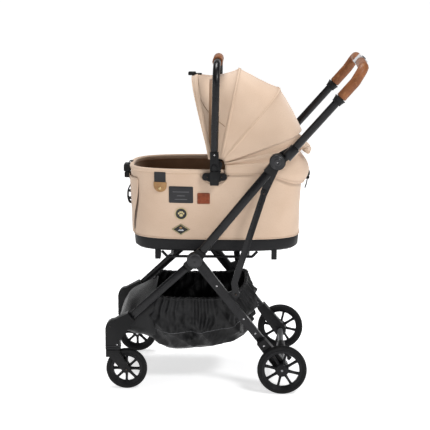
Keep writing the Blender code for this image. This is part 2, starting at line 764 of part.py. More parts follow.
def cut_path(path, low, high, measure):
    """The stretch of a path whose measure lies between two values."""
    kept = []
    for before, after in zip(path, path[1:]):
        ends = sorted(((measure(before), before), (measure(after), after)),
                      key=lambda end: end[0])
        first, last = ends[0][0], ends[1][0]
        if last < low or first > high or last - first < 1e-9:
            continue
        shares = [max(0.0, (low - first) / (last - first)),
                  min(1.0, (high - first) / (last - first))]
        points = [ends[0][1].lerp(ends[1][1], share) for share in shares]
        if measure(before) > measure(after):
            points.reverse()
        for point in points:
            if not kept or (kept[-1] - point).length > 1e-4:
                kept.append(point)
    return kept


def push_handle():
    """The U of the handle, its arms, collars, grips and fold release."""
    half = handle_line()
    place(tube("handle_tube", mirrored(half), HANDLE_R), "frame_black", "handle")
    for side, label in ((1, "left"), (-1, "right")):
        flip = Matrix.Scale(side, 3, (1, 0, 0))
        handle_arm(side, label)
        collar = cut_path(half, *COLLAR_Y, lambda point: point.y)
        body = tube(f"handle_collar_{label}", [flip @ point for point in collar],
                    HANDLE_R + GAP, wall=0.0046)
        place(body, "plastic_black", "handle")
        grip = cut_path(half, -1.0, -RELEASE_HALF - GAP, lambda point: -point.x)
        grip = [point for point in grip if point.y > COLLAR_Y[1] + 0.004]
        first = cut_path(half, COLLAR_Y[1] + GAP, COLLAR_Y[1] + 0.002, lambda point: point.y)[0]
        body = tube(f"handle_grip_{label}", [flip @ point for point in [first, *grip]],
                    HANDLE_R + GAP, wall=GRIP_WALL)
        place(body, "leather", "handle")
    fold_release(half[-1])


def handle_arm(side, label):
    """Plate on the fold pin with the link's stub below and the tube's sleeve above."""
    sleeve_end = along(HANDLE_START, HANDLE_KNEE, 0.034)
    outline = hull([(FOLD, 0.0190), (along(HANDLE_START, HANDLE_KNEE, 0.024), 0.0135)])
    body = plate(f"handle_arm_{label}", side, ARM_LAYER, outline)
    hanger = plate("hanger", side, (ARM_LAYER[0] + 0.0005, ARM_LAYER[1] - 0.0005),
                   hull([(ARM_PIN, 0.0110), (FOLD, 0.0150)]))
    bore = rod("fold_bore", (side * 0.18, *FOLD), (side * 0.20, *FOLD),
               PIVOT_PIN_R + RUNNING_GAP)
    stub = rod("link_stub", (side * 0.1900, *ARM_PIN),
               (side * (LINK_LAYER[0] - 0.0005), *ARM_PIN), LINK_PIN_R + 0.002, 12)
    sleeve = rod("sleeve", (side * HANDLE_X, *along(HANDLE_START, HANDLE_KNEE, -0.005)),
                 (side * HANDLE_X, *sleeve_end), HANDLE_R + SLEEVE_WALL)
    socket_bore = rod("socket_bore",
                      (side * HANDLE_X, *along(HANDLE_START, HANDLE_KNEE, -2 * GAP)),
                      (side * HANDLE_X, *along(HANDLE_START, HANDLE_KNEE, 0.060)),
                      HANDLE_R + 2 * GAP)
    combine(body, [hanger, stub, sleeve])
    return place(combine(body, [bore, socket_bore], "DIFFERENCE"), "plastic_black", "handle")


def fold_release(middle):
    """Grey unit in the middle of the handle with a button on its outer face."""
    away = (Vector((0, *middle.yz)) - Vector((0, *FOLD))).normalized()
    spin = Quaternion((1, 0, 0), math.atan2(away.z, away.y) - math.pi / 2).to_matrix().to_4x4()
    half = Vector((RELEASE_HALF, RELEASE_R, RELEASE_R))
    housing = box("fold_release_housing", middle - half, middle + half, spin=spin)
    bore = rod("release_bore", (-0.05, *middle.yz), (0.05, *middle.yz), HANDLE_R + 4 * GAP)
    centre = middle + away * RELEASE_R
    room = Vector((0.0126, 0.0066, 0.0030))
    pocket = box("button_pocket", centre - room, centre + room, spin=spin)
    combine(housing, [bore, pocket], "DIFFERENCE")
    place(housing, "release_grey", "handle")
    pivot("release_slide", centre, "handle")
    size = Vector((0.0120, 0.0060, 0.0018))
    lifted = centre + away * 0.0010
    button = box("fold_release_button", lifted - size, lifted + size, spin=spin)
    place(button, "plastic_black", "release_slide")


# ---------------------------------------------------------------- carrier
def base_tray():
    """Dark tray under the carrier, with four feet."""
    low = TRAY_Z[0]
    rows = [plan_ring(*ring) for ring in TRAY_RINGS]
    body = surface("base_tray", rows, closed=True, fan=(0, CARRIER_Y, low))
    thicken(body, TRAY_WALL, outwards=False)
    across, along = FOOT_HALF
    feet = []
    for x in (FOOT_X, -FOOT_X):
        for y in FOOT_Y:
            feet.append(box("foot", (x - across, y - along, FOOT_Z),
                            (x + across, y + along, low + 0.002)))
    return place(combine(body, feet), "tray_grey", "carrier")


def carrier_shell():
    """Padded fabric tub with a floor."""
    rows = [plan_ring(*ring) for ring in CARRIER_RINGS]
    body = surface("carrier_shell", rows, closed=True, fan=(0, CARRIER_Y, FLOOR_Z))
    return place(thicken(body, WALL, outwards=False), "beige_fabric", "carrier")


def carrier_rim():
    """Bound rim on top of the tub."""
    height, half_width, half_length = CARRIER_RINGS[-1]
    path = plan_ring(height + RIM_R + 0.0004, half_width - 0.002, half_length - 0.002)
    return place(tube("carrier_rim", path, RIM_R, sides=8, closed=True),
                 "beige_fabric", "carrier")


def cushion():
    """Loose pad on the carrier's floor."""
    rows = [plan_ring(FLOOR_Z + WALL + rise, half_width, half_length, steps=CUSHION_STEPS)
            for rise, half_width, half_length in CUSHION_RINGS]
    mesh = bpy.data.meshes.new("cushion")
    shell = bmesh.new()
    rings = [[shell.verts.new(point) for point in row] for row in rows]
    for lower, upper in zip(rings, rings[1:]):
        for index in range(len(lower)):
            after = (index + 1) % len(lower)
            shell.faces.new((lower[index], lower[after], upper[after], upper[index]))
    shell.faces.new(rings[0])
    shell.faces.new(rings[-1])
    bmesh.ops.recalc_face_normals(shell, faces=shell.faces)
    shell.to_mesh(mesh)
    shell.free()
    mesh.shade_smooth()
    return place(new_object("cushion", mesh), "cushion_brown", "carrier")


def bail_mount(side, label):
    """Bracket on the tub's side that carries the carry handle and the canopy pin."""
    y, z = BAIL_PIVOT
    strap = plate(f"bail_mount_{label}", side, MOUNT_LAYER,
                  hull([(BAIL_PIVOT, 0.0140), (CANOPY_PIVOT, 0.0080), ((y, z - 0.045), 0.0120)]))
    base = plate("mount_base", side, MOUNT_BASE_LAYER,
                 hull([((y + end * MOUNT_BASE_HALF, z - 0.033), 0.011) for end in (-1, 1)]))
    head, foot = MOUNT_BOSS_HALF
    lower = plate("mount_boss", side, MOUNT_BOSS_LAYER,
                  hull([((y - foot, z - 0.053), 0.003), ((y + foot, z - 0.053), 0.003),
                        ((y - head, z - 0.0145), 0), ((y + head, z - 0.0145), 0)]))
    start, end = CANOPY_PIN_X
    pin = rod("canopy_pin", (side * start, *CANOPY_PIVOT), (side * end, *CANOPY_PIVOT),
              0.0025, 10)
    return place(combine(strap, [base, lower, pin]), "plastic_black", "carrier")


# ---------------------------------------------------------------- carry handle
def carry_handle():
    """Bail over the carrier: tube, knuckles, grip and release buttons."""
    y = BAIL_PIVOT[0]
    half = rounded_path([(BAIL_X, y, BAIL_FOOT_Z + LEAN_GAP), (BAIL_X, BAIL_TOP_Y, BAIL_TOP_Z),
                         (0, BAIL_TOP_Y, BAIL_TOP_Z)], BAIL_CORNER_R, 8)
    place(tube("bail_tube", mirrored(half), BAIL_R), "frame_black", "bail")
    grip = [Vector((x, BAIL_TOP_Y, BAIL_TOP_Z)) for x in (BAIL_GRIP_HALF, 0.0, -BAIL_GRIP_HALF)]
    place(tube("bail_grip", grip, BAIL_R + GAP, wall=0.0045), "leather", "bail")
    for side, label in ((1, "left"), (-1, "right")):
        knuckle = plate(f"bail_knuckle_{label}", side, KNUCKLE_LAYER,
                        hull([(BAIL_PIVOT, 0.0132), ((y - 0.0130, BAIL_FOOT_Z), 0),
                              ((y + 0.0130, BAIL_FOOT_Z), 0)]),
                        [circle(BAIL_PIVOT, BUTTON_R + RUNNING_GAP)])
        place(knuckle, "plastic_black", "bail")
        slide = f"bail_button_slide_{label}"
        pivot(slide, (side * KNUCKLE_LAYER[1], *BAIL_PIVOT), "bail")
        button = rod(f"bail_button_{label}", (side * BUTTON_LAYER[0], *BAIL_PIVOT),
                     (side * BUTTON_LAYER[1], *BAIL_PIVOT), BUTTON_R)
        place(button, "plastic_black", slide)


# ---------------------------------------------------------------- canopy
def arch(angle, reach, half_width, start, fore=0.0, steps=20):
    """Points over the carrier from left to right, in a plane through the canopy's axis.

    The two ends of the arch stand a distance, fore, in front of that plane.
    """
    sine = (start / reach) ** (1 / ARCH_POWER)
    first = math.asin(sine)
    lean = math.radians(angle)
    points = []
    for step in range(steps + 1):
        t = first + (math.pi - 2 * first) * step / steps
        out = reach * math.sin(t) ** ARCH_POWER
        x = half_width * power(math.cos(t), ARCH_POWER)
        ahead = fore * (1 - out / reach)
        points.append(Vector((x, CANOPY_PIVOT[0] + out * math.cos(lean) - ahead,
                              CANOPY_PIVOT[1] + out * math.sin(lean))))
    return points


def canopy_bow(name):
    path = arch(BOW_ANGLES[name], BOW_REACH[name], BOW_HALF_WIDTH[name], 0.0065)
    return place(tube(f"canopy_bow_{name}", path, BOW_R, sides=8), "steel", f"bow_{name}")


def canopy_panel(name, rows, pivot_name):
    """A fabric panel through rows of arches, with its wall outside them."""
    body = surface(name, rows)
    middle = body.data.polygons[len(body.data.polygons) // 2]
    out = middle.center - Vector((0, *CANOPY_PIVOT))
    if middle.normal.dot(out) < 0:
        body.data.flip_normals()
    return place(thicken(body, FABRIC, outwards=True), "beige_fabric", pivot_name)


def fabric_arch(angle, reach, fore=0.0):
    """An arch of fabric just outside the bows."""
    return arch(angle, reach + FABRIC_CLEAR, FABRIC_HALF_WIDTH, FABRIC_START, fore)


def blend_rows(first, last, shares):
    """Straight rows between two rows of points."""
    return [[a.lerp(b, share) for a, b in zip(first, last)] for share in shares]


def canopy_fabric():
    """Three panels: front to middle bow, middle to rear bow, and rear bow to the rim."""
    seam = 0.08
    edge = fabric_arch(BOW_ANGLES["front"] + FRONT_OVERHANG, BOW_REACH["front"], FRONT_FORE[0])
    front = fabric_arch(BOW_ANGLES["front"] - 1.0, BOW_REACH["front"], FRONT_FORE[1])
    middle = fabric_arch(BOW_ANGLES["middle"] + seam, BOW_REACH["middle"])
    canopy_panel("canopy_front", [edge] + blend_rows(front, middle, (0.0, 0.5, 1.0)),
                 "bow_front")
    middle = fabric_arch(BOW_ANGLES["middle"] - seam, BOW_REACH["middle"])
    rear = fabric_arch(BOW_ANGLES["rear"] + seam, BOW_REACH["rear"])
    canopy_panel("canopy_middle", blend_rows(middle, rear, (0.0, 0.5, 1.0)), "bow_middle")
    rear = fabric_arch(BOW_ANGLES["rear"] - seam, BOW_REACH["rear"])
    hem = fabric_arch(HEM_ANGLE, HEM_REACH)
    height, half_width, half_length = CARRIER_RINGS[-1]
    rim_row = []
    for step in range(len(hem)):
        t = 0.16 + (math.pi - 0.32) * step / (len(hem) - 1)
        rim_row.append(Vector(((half_width + 0.006) * power(math.cos(t), 0.62),
                               CARRIER_Y + (half_length + 0.004) * math.sin(t) ** 0.9,
                               height + 0.014)))
    rows = blend_rows(rear, hem, (0.0, 0.5)) + blend_rows(hem, rim_row, (0.0, 0.5, 1.0))
    canopy_panel("canopy_rear", rows, "bow_rear")


# ---------------------------------------------------------------- storage basket
def basket_lift(place_along, share):
    """Rise of a level: its bottom slopes up to the rear, its rim up to both ends."""
    slope = BASKET_REAR_RISE * max(0.0, place_along) ** 2 * (1 - share)
    return slope + BASKET_HEM_RISE * share * place_along ** 4


def under_legs(y, z):
    """A height kept below the line of the front legs."""
    slope = (HUB[1] - LEG_TIP[1]) / (HUB[0] - LEG_TIP[0])
    return min(z, LEG_TIP[1] + (y - LEG_TIP[0]) * slope - BASKET_UNDER_LEGS)


def storage_basket():
    """Fabric basket slung between the front legs and the rear legs."""
    lowest, highest = BASKET_LEVELS[0][0], BASKET_LEVELS[-1][0]
    rows = []
    for height, half_width, front, rear in BASKET_LEVELS:
        middle, half = (front + rear) / 2, (rear - front) / 2
        ring = plan_ring(height, half_width, half, middle, BASKET_PLAN, BASKET_STEPS)
        share = (height - lowest) / (highest - lowest)
        rows.append([(x, y, under_legs(y, z + basket_lift((y - middle) / half, share)))
                     for x, y, z in ring])
    body = surface("storage_basket", rows, closed=True, fan=BASKET_LOWEST)
    return place(thicken(body, BASKET_WALL, outwards=False), "basket_mesh", "frame")


# ---------------------------------------------------------------- assembly
def build():
    """Make every pivot, then every piece on its pivot."""
    pivot("frame", (0, 0, 0))
    pivot("rear_legs", (0, *HUB), "frame")
    pivot("handle", (0, *FOLD), "frame")
    pivot("link_pivot", (0, *LEG_PIN), "rear_legs")
    pivot("carrier", (0, CARRIER_Y, TRAY_Z[0]), "frame")
    pivot("bail", (0, *BAIL_PIVOT), "carrier")
    pivot("bow_rear", (0, *CANOPY_PIVOT), "carrier")
    pivot("bow_middle", (0, *CANOPY_PIVOT), "bow_rear")
    pivot("bow_front", (0, *CANOPY_PIVOT), "bow_middle")
    for side, label in ((1, "left"), (-1, "right")):
        for make in (push_tube, front_leg, hub_housing, fold_housing, caster_housing, caster,
                     rear_leg, rear_foot, rear_wheel, fold_link, bail_mount):
            make(side, label)
    for make in (front_cross_tube, carrier_cradle, rear_axle, brake_pedal, push_handle,
                 base_tray, carrier_shell, carrier_rim, cushion, carry_handle, canopy_fabric,
                 storage_basket):
        make()
    for name in BOW_ANGLES:
        canopy_bow(name)


build()
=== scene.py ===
"""The pet stroller's look: fabric, leather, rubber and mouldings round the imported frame.

Everything is in metres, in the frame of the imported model: +X is the stroller's left side,
-Y its front, +Z up.
"""

import json
from math import asin, copysign, cos, degrees, exp, hypot, pi, radians, sin

import bmesh
import bpy
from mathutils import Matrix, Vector, noise

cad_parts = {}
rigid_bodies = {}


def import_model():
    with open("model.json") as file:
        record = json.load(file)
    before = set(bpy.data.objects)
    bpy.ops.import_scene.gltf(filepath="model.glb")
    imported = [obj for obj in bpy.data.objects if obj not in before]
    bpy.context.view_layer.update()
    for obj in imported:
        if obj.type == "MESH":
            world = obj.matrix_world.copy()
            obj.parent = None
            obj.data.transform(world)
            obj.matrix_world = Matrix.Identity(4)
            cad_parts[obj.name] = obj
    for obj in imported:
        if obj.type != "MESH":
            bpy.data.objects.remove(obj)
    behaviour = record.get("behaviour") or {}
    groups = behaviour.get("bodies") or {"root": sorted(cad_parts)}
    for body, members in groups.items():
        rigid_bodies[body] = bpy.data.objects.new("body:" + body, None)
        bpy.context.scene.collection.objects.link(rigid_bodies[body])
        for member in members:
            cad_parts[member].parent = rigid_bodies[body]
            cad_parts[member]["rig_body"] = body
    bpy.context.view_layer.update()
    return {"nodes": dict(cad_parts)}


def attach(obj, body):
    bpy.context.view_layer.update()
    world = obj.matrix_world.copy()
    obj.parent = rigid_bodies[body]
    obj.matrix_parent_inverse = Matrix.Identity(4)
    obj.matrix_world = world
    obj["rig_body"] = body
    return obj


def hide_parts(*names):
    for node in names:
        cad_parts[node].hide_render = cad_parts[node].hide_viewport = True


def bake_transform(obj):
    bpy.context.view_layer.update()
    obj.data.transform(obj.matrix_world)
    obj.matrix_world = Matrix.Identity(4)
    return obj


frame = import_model()
NODES = frame["nodes"]
SIDES = ((1, "left"), (-1, "right"))
MM = 0.001

# ---------------------------------------------------------------- camera
CAMERA_AT = Vector((4.3366, 0.0735, 1.4168))
CAMERA_FORWARD = Vector((-0.9783, -0.0321, -0.2048))
LENS_MM = 117.2                    # on a 36 mm sensor

camera_data = bpy.data.cameras.new("camera")
camera_data.lens = LENS_MM
camera_data.sensor_width = 36.0
camera = bpy.data.objects.new("camera", camera_data)
camera.location = CAMERA_AT
camera.rotation_euler = CAMERA_FORWARD.to_track_quat("-Z", "Y").to_euler()
bpy.context.scene.collection.objects.link(camera)
bpy.context.scene.camera = camera


# ---------------------------------------------------------------- materials
class Look:
    """A Principled material with object-space texture coordinates."""

    def __init__(self, name, colour, roughness, **sockets):
        self.mat = bpy.data.materials.new(name)
        self.mat.use_nodes = True
        self.nodes, self.links = self.mat.node_tree.nodes, self.mat.node_tree.links
        self.shader = self.nodes["Principled BSDF"]
        self.colour = colour
        self.shader.inputs["Base Color"].default_value = (*colour, 1)
        self.shader.inputs["Roughness"].default_value = roughness
        for socket, value in sockets.items():
            self.shader.inputs[socket.replace("_", " ")].default_value = value
        coords = self.nodes.new("ShaderNodeTexCoord")
        self.place, self.uv = coords.outputs["Object"], coords.outputs["UV"]
        self.normal = None

    def node(self, kind, output, inputs, **settings):
        """The output of a new node whose inputs are numbers or other nodes' outputs."""
        node = self.nodes.new(f"ShaderNode{kind}")
        for key, value in settings.items():
            setattr(node, key, value)
        for key, value in inputs.items():
            if isinstance(value, bpy.types.NodeSocket):
                self.links.new(value, node.inputs[key])
            else:
                node.inputs[key].default_value = value
        return node.outputs[output]

    def noise(self, scale, detail=3.0, roughness=0.55, stretch=None, at=None):
        """Noise from 0 to 1, stretched along the axes if asked."""
        start = at or self.place
        if stretch:
            start = self.node("Mapping", "Vector", {"Scale": stretch, "Vector": start})
        return self.node("TexNoise", "Fac", {"Scale": scale, "Detail": detail,
            "Roughness": roughness, "Vector": start})

    def cells(self, scale):
        """Distance to the nearest of many scattered points."""
        return self.node("TexVoronoi", "Distance", {"Scale": scale, "Vector": self.place})

    def threads(self, pitch, direction):
        """Ridges of woven threads along one direction of the UV map, in metres."""
        return self.node("TexWave", "Fac", {"Scale": 0.314 / pitch, "Distortion": 0.6,
            "Detail Scale": 2.0, "Vector": self.uv}, bands_direction=direction)

    def span(self, value, low, high, to_low=0.0, to_high=1.0):
        """Map a value's range onto another range."""
        return self.node("MapRange", 0, dict(enumerate((value, low, high, to_low, to_high))))

    def paint(self, share, other):
        """Mix another colour into the base colour by a share."""
        base = self.shader.inputs["Base Color"]
        first = base.links[0].from_socket if base.is_linked else (*self.colour, 1)
        mixed = self.node("Mix", 2, {0: share, 6: first, 7: (*other, 1)}, data_type="RGBA")
        self.links.new(mixed, base)

    def rough(self, value, low, high):
        self.links.new(self.span(value, 0.3, 0.7, low, high), self.shader.inputs["Roughness"])

    def bump(self, height, distance, strength=1.0):
        inputs = {"Strength": strength, "Distance": distance, "Height": height}
        if self.normal:
            inputs["Normal"] = self.normal
        self.normal = self.node("Bump", "Normal", inputs)
        self.links.new(self.normal, self.shader.inputs["Normal"])


def cloth(name, colour, light, dark, pitch=1.1 * MM, sheen=0.25, roughness=0.88, weave=0.25 * MM,
        specular=0.25):
    """Woven fabric with a melange of lighter and darker yarns."""
    look = Look(name, colour, roughness, Sheen_Weight=sheen, Sheen_Roughness=0.5,
        Specular_IOR_Level=specular)
    look.paint(look.span(look.noise(9.0, 2.0), 0.35, 0.75), light)
    yarns = look.noise(620.0, 2.0, 0.7, at=look.uv, stretch=(1.0, 0.35, 1.0))
    look.paint(look.span(yarns, 0.52, 0.8, 0.0, 0.55), dark)
    yarns = look.noise(540.0, 2.0, 0.7, at=look.uv, stretch=(0.35, 1.0, 1.0))
    look.paint(look.span(yarns, 0.54, 0.82, 0.0, 0.5), light)
    crossing = {0: look.threads(pitch, "X"), 1: look.threads(pitch, "Y")}
    look.bump(look.node("Math", 0, crossing, operation="MULTIPLY"), weave, 0.5)
    look.bump(look.noise(55.0, 3.0), 0.5 * MM, 0.35)
    return look.mat


def moulded(name, colour, roughness, grain=0.12 * MM, **sockets):
    """Moulded plastic with a fine grain and lightly scuffed high spots."""
    look = Look(name, colour, roughness, **sockets)
    wear = (0.036, 0.036, 0.038)
    fine, patches = look.noise(1500.0, 2.0), look.noise(38.0, 5.0, 0.65)
    look.paint(look.span(patches, 0.58, 0.85, 0.0, 0.45), wear)
    look.paint(look.span(fine, 0.55, 0.85, 0.0, 0.35), wear)
    look.rough(patches, roughness - 0.06, roughness + 0.1)
    look.bump(look.cells(900.0), grain, 0.45)
    return look.mat


def leather(name, colour, dark, light, scale=1.0):
    """Grained leather with rubbed highlights."""
    look = Look(name, colour, 0.48, Specular_IOR_Level=0.24, Coat_Weight=0.05, Coat_Roughness=0.3)
    look.paint(look.span(look.noise(24.0 * scale, 4.0, 0.6), 0.42, 0.72, 0.0, 0.75), dark)
    look.paint(look.span(look.noise(60.0 * scale, 3.0, 0.6), 0.52, 0.78, 0.0, 0.6), light)
    grain = look.cells(420.0 * scale)
    look.paint(look.span(grain, 0.0, 0.25, 0.35, 0.0), dark)
    look.rough(look.noise(90.0), 0.4, 0.58)
    look.bump(grain, 0.35 * MM, 0.6)
    look.bump(look.noise(1300.0, 2.0), 0.08 * MM, 0.5)
    return look.mat


def coated(name, colour, roughness):
    """Powder-coated metal."""
    look = Look(name, colour, roughness, Specular_IOR_Level=0.22, Coat_Weight=0.06,
        Coat_Roughness=0.22)
    patches = look.noise(30.0, 4.0)
    look.paint(look.span(patches, 0.5, 0.85, 0.0, 0.4), (0.03, 0.03, 0.033))
    look.rough(patches, roughness - 0.05, roughness + 0.09)
    look.bump(look.noise(900.0, 3.0, 0.6), 0.08 * MM, 0.55)
    return look.mat


BEIGE, BEIGE_LIGHT, BEIGE_DARK = (0.6, 0.44, 0.325), (0.66, 0.5, 0.38), (0.43, 0.3, 0.205)
M = {"beige": cloth("beige_cloth", BEIGE, BEIGE_LIGHT, BEIGE_DARK),
    "binding": cloth("beige_binding", (0.63, 0.465, 0.345), BEIGE_LIGHT, BEIGE_DARK, 0.8 * MM),
    "lining": cloth("brown_lining", (0.22, 0.125, 0.07), (0.3, 0.18, 0.105), (0.13, 0.07, 0.04),
    1.4 * MM, sheen=0.5, weave=0.12 * MM), "shade":
    # shade: dark brown cloth put where there is only shade, painted shade in the pocket openings,
    # the vent holes and the screw recesses
    cloth("painted_shade_cloth", (0.1, 0.058, 0.035), (0.14, 0.085, 0.05), (0.05, 0.03, 0.02), 1.4 * MM,
    weave=0.1 * MM), "basket": cloth("basket_cloth", (0.0055, 0.0055, 0.006),
    (0.011, 0.011, 0.012), (0.003, 0.003, 0.0035), 1.0 * MM, sheen=0.01, roughness=0.42,
    specular=0.24), "webbing": cloth("webbing", (0.016, 0.016, 0.018), (0.035, 0.035, 0.038),
    (0.006, 0.006, 0.007), 1.8 * MM, roughness=0.7, weave=0.5 * MM),
    "frame": coated("frame_coat", (0.0065, 0.0065, 0.0075), 0.27),
    "plastic": moulded("black_moulding", (0.0085, 0.0085, 0.009), 0.4, Specular_IOR_Level=0.16),
    "wheel": moulded("wheel_moulding", (0.007, 0.007, 0.008), 0.34, 0.05 * MM,
    Specular_IOR_Level=0.18), "tray": moulded("tray_moulding", (0.012, 0.012, 0.013), 0.5,
    Specular_IOR_Level=0.16), "tan": leather("tan_leather", (0.36, 0.205, 0.085),
    (0.25, 0.13, 0.05), (0.47, 0.3, 0.14), 2.0),
    "grip": leather("grip_leather", (0.24, 0.086, 0.031), (0.12, 0.038, 0.013),
    (0.42, 0.2, 0.075)), "patch": leather("patch_leather", (0.235, 0.05, 0.016),
    (0.15, 0.028, 0.009), (0.3, 0.075, 0.026), 3.0),}


def plain(name, colour, roughness, patches, other=None, share=0.4, **sockets):
    """A nearly plain finish with faint patches and a fine grain."""
    look = Look(name, colour, roughness, **sockets)
    other = other or tuple(min(1.0, channel * 1.6 + 0.01) for channel in colour)
    look.paint(look.span(look.noise(patches, 4.0), 0.45, 0.8, 0.0, share), other)
    look.bump(look.noise(1200.0, 2.0), 0.06 * MM, 0.5)
    return look.mat


M["tyre"] = plain("tyre_rubber", (0.007, 0.007, 0.0075), 0.58, 45.0, (0.018, 0.0175, 0.017),
    Specular_IOR_Level=0.16)
M["steel"] = plain("bright_steel", (0.6, 0.6, 0.62), 0.27, 80.0, Metallic=1.0)
M["grey"] = plain("speckled_grey", (0.6, 0.6, 0.615), 0.42, 900.0, (0.3, 0.3, 0.32), 0.9)
M["brake"] = plain("satin_grey", (0.2, 0.2, 0.21), 0.38, 40.0, Metallic=0.6)
# edge: a lighter, glossier black for the pivot caps and caster rings, painted highlight so that
# their rings show against the black
M["edge"] = plain("painted_highlight_moulding", (0.022, 0.022, 0.024), 0.32, 60.0, Specular_IOR_Level=0.3)
M["thread"] = plain("thread_tan", (0.42, 0.29, 0.19), 0.8, 300.0)
M["thread_dark"] = plain("thread_dark", (0.05, 0.045, 0.04), 0.8, 300.0)
M["thread_grey"] = plain("thread_grey", (0.075, 0.075, 0.08), 0.6, 300.0)
M["cream"] = plain("embroidery_cream", (0.55, 0.47, 0.24), 0.8, 300.0)
M["brass"] = plain("brass_snap", (0.55, 0.42, 0.22), 0.3, 90.0, Metallic=1.0)


# ---------------------------------------------------------------- mesh tools
def piece(name, verts, faces, look, body, slot=None, uvs=None, replaces=()):
    """A mesh object that rides on a body."""
    mesh = bpy.data.meshes.new(name)
    mesh.from_pydata([tuple(v) for v in verts], [], faces)
    mesh.shade_smooth()
    if uvs:
        layer = mesh.uv_layers.new(name="metres")
        for loop in mesh.loops:
            layer.data[loop.index].uv = uvs[loop.vertex_index]
    obj = bpy.data.objects.new(name, mesh)
    bpy.context.scene.collection.objects.link(obj)
    for material in (look if isinstance(look, (list, tuple)) else [look]):
        mesh.materials.append(M[material])
    if body:
        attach(obj, body)
    if replaces:
        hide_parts(*replaces)
    return obj


def clean(mesh, weld=None, flatten=None):
    """Weld near points, then join flat faces or else turn the faces outwards."""
    shell = bmesh.new()
    shell.from_mesh(mesh)
    if weld:
        bmesh.ops.remove_doubles(shell, verts=shell.verts, dist=weld)
    if flatten:
        bmesh.ops.dissolve_limit(shell, angle_limit=flatten, verts=shell.verts, edges=shell.edges)
    else:
        bmesh.ops.recalc_face_normals(shell, faces=shell.faces)
    shell.to_mesh(mesh)
    shell.free()


def outward(obj):
    clean(obj.data)
    return obj


def face_away(obj, share, centre):
    """Turn a sheet over if a face, some way through its mesh, looks at a point inside."""
    face = obj.data.polygons[int(len(obj.data.polygons) * share)]
    if face.normal.dot(face.center - centre) < 0:
        obj.data.flip_normals()


def modify(obj, kind, **settings):
    modifier = obj.modifiers.new(kind.lower(), kind)
    for key, value in settings.items():
        setattr(modifier, key, value)
    return obj


def lengths(points):
    """Distance along a row of points."""
    total, out = 0.0, [0.0]
    for a, b in zip(points, points[1:]):
        total += (Vector(b) - Vector(a)).length
        out.append(total)
    return out


def marks(points, count):
    """Where evenly spaced marks fall along a row of points, counted in its steps."""
    far, out, i = lengths(points), [], 0
    for k in range(count + 1):
        want = far[-1] * k / count
        while i < len(far) - 2 and far[i + 1] < want:
            i += 1
        out.append(i + min(1.0, (want - far[i]) / max(far[i + 1] - far[i], 1e-9)))
    return out


def quads(rows, count, closed=True, looped=False):
    """Faces of a grid of rows, closed round each row, and from the last row to the first."""
    return [(r * count + c, r * count + (c + 1) % count, (r + 1) % rows * count + (c + 1) % count,
        (r + 1) % rows * count + c) for r in range(rows if looped else rows - 1)
        for c in range(count if closed else count - 1)]


def caps(rows, count):
    """Faces that close the two ends of a tube."""
    return [tuple(range(count))[::-1], tuple((rows - 1) * count + c for c in range(count))]


def grid(name, rows, look, body, closed=False, **extra):
    """A sheet through rows of points, with a UV map in metres."""
    width = len(rows[0])
    across = lengths(rows[len(rows) // 2])
    down = lengths([row[width // 2] for row in rows])
    return piece(name, [point for row in rows for point in row], quads(len(rows), width, closed),
        look, body, uvs=[(u, v) for v in down for u in across], **extra)


def frames(points, up, closed=False):
    """Tangent, side and up at each point of a path, starting from an up direction."""
    out, count = [], len(points)
    up = Vector(up)
    for i, point in enumerate(points):
        before = points[(i - 1) % count] if closed or i else point
        after = points[(i + 1) % count] if closed or i < count - 1 else point
        tangent = (Vector(after) - Vector(before)).normalized()
        side = tangent.cross(up).normalized()
        up = side.cross(tangent).normalized()
        out.append((tangent, side, up))
    return out


def sweep(name, points, section, look, body, up=(0, 0, 1), ups=None, closed=False, sizes=None,
        **extra):
    """A closed section of (side, up) pairs swept along a path, with flat caps at open ends."""
    axes, verts = frames(points, up, closed), []
    for i, point in enumerate(points):
        tangent, side, lift = axes[i]
        if ups:
            side = tangent.cross(Vector(ups[i])).normalized()
            lift = side.cross(tangent).normalized()
        size = sizes[i] if sizes else 1.0
        verts += [Vector(point) + side * (u * size) + lift * (v * size) for u, v in section]
    around = lengths([(u, v, 0) for u, v in section])
    faces = quads(len(points), len(section), looped=closed)
    if not closed:
        faces += caps(len(points), len(section))
    return outward(piece(name, verts, faces, look, body,
        uvs=[(u, v) for v in lengths(points) for u in around], **extra))


def arc(y, z, across, up, first, last, steps):
    """Points of an ellipse, from one angle to another."""
    turns = [first + (last - first) * k / steps for k in range(steps + 1)]
    return [(y + across * cos(a), z + up * sin(a)) for a in turns]


def disc(y, z, across, up=None, steps=28):
    return arc(y, z, across, up or across, 0, 2 * pi, steps)[:-1]


def ring(radius, steps):
    """A round section."""
    return disc(0, 0, radius, steps=steps)


def rounded(y0, y1, z0, z1, radius, steps=5):
    """A rectangle's outline with round corners."""
    corners = ((y1 - radius, z1 - radius), (y0 + radius, z1 - radius), (y0 + radius, z0 + radius),
        (y1 - radius, z0 + radius))
    return [point for k, corner in enumerate(corners)
        for point in arc(*corner, radius, radius, k * pi / 2, (k + 1) * pi / 2, steps)]


def flat(width, thick, corner=None):
    """A strap's section: a flat bar with rounded edges."""
    corner = corner or thick * 0.45
    w, t, c = width / 2, thick / 2, corner
    return [(w, -t + c), (w, t - c), (w - c, t), (-w + c, t), (-w, t - c), (-w, -t + c),
        (-w + c, -t), (w - c, -t)]


def smooth_path(points, steps):
    """A Catmull-Rom curve through points."""
    points, out, last = [Vector(p) for p in points], [], len(points) - 1
    for i in range(last):
        b, c = points[i], points[i + 1]
        a = points[i - 1] if i else b * 2 - c
        d = points[i + 2] if i + 1 < last else c * 2 - b
        for k in range(steps):
            t = k / steps
            out.append(0.5 * ((2 * b) + (c - a) * t + (2 * a - 5 * b + 4 * c - d) * t * t
                + (3 * b - a - 3 * c + d) * t ** 3))
    return out + [points[-1]]


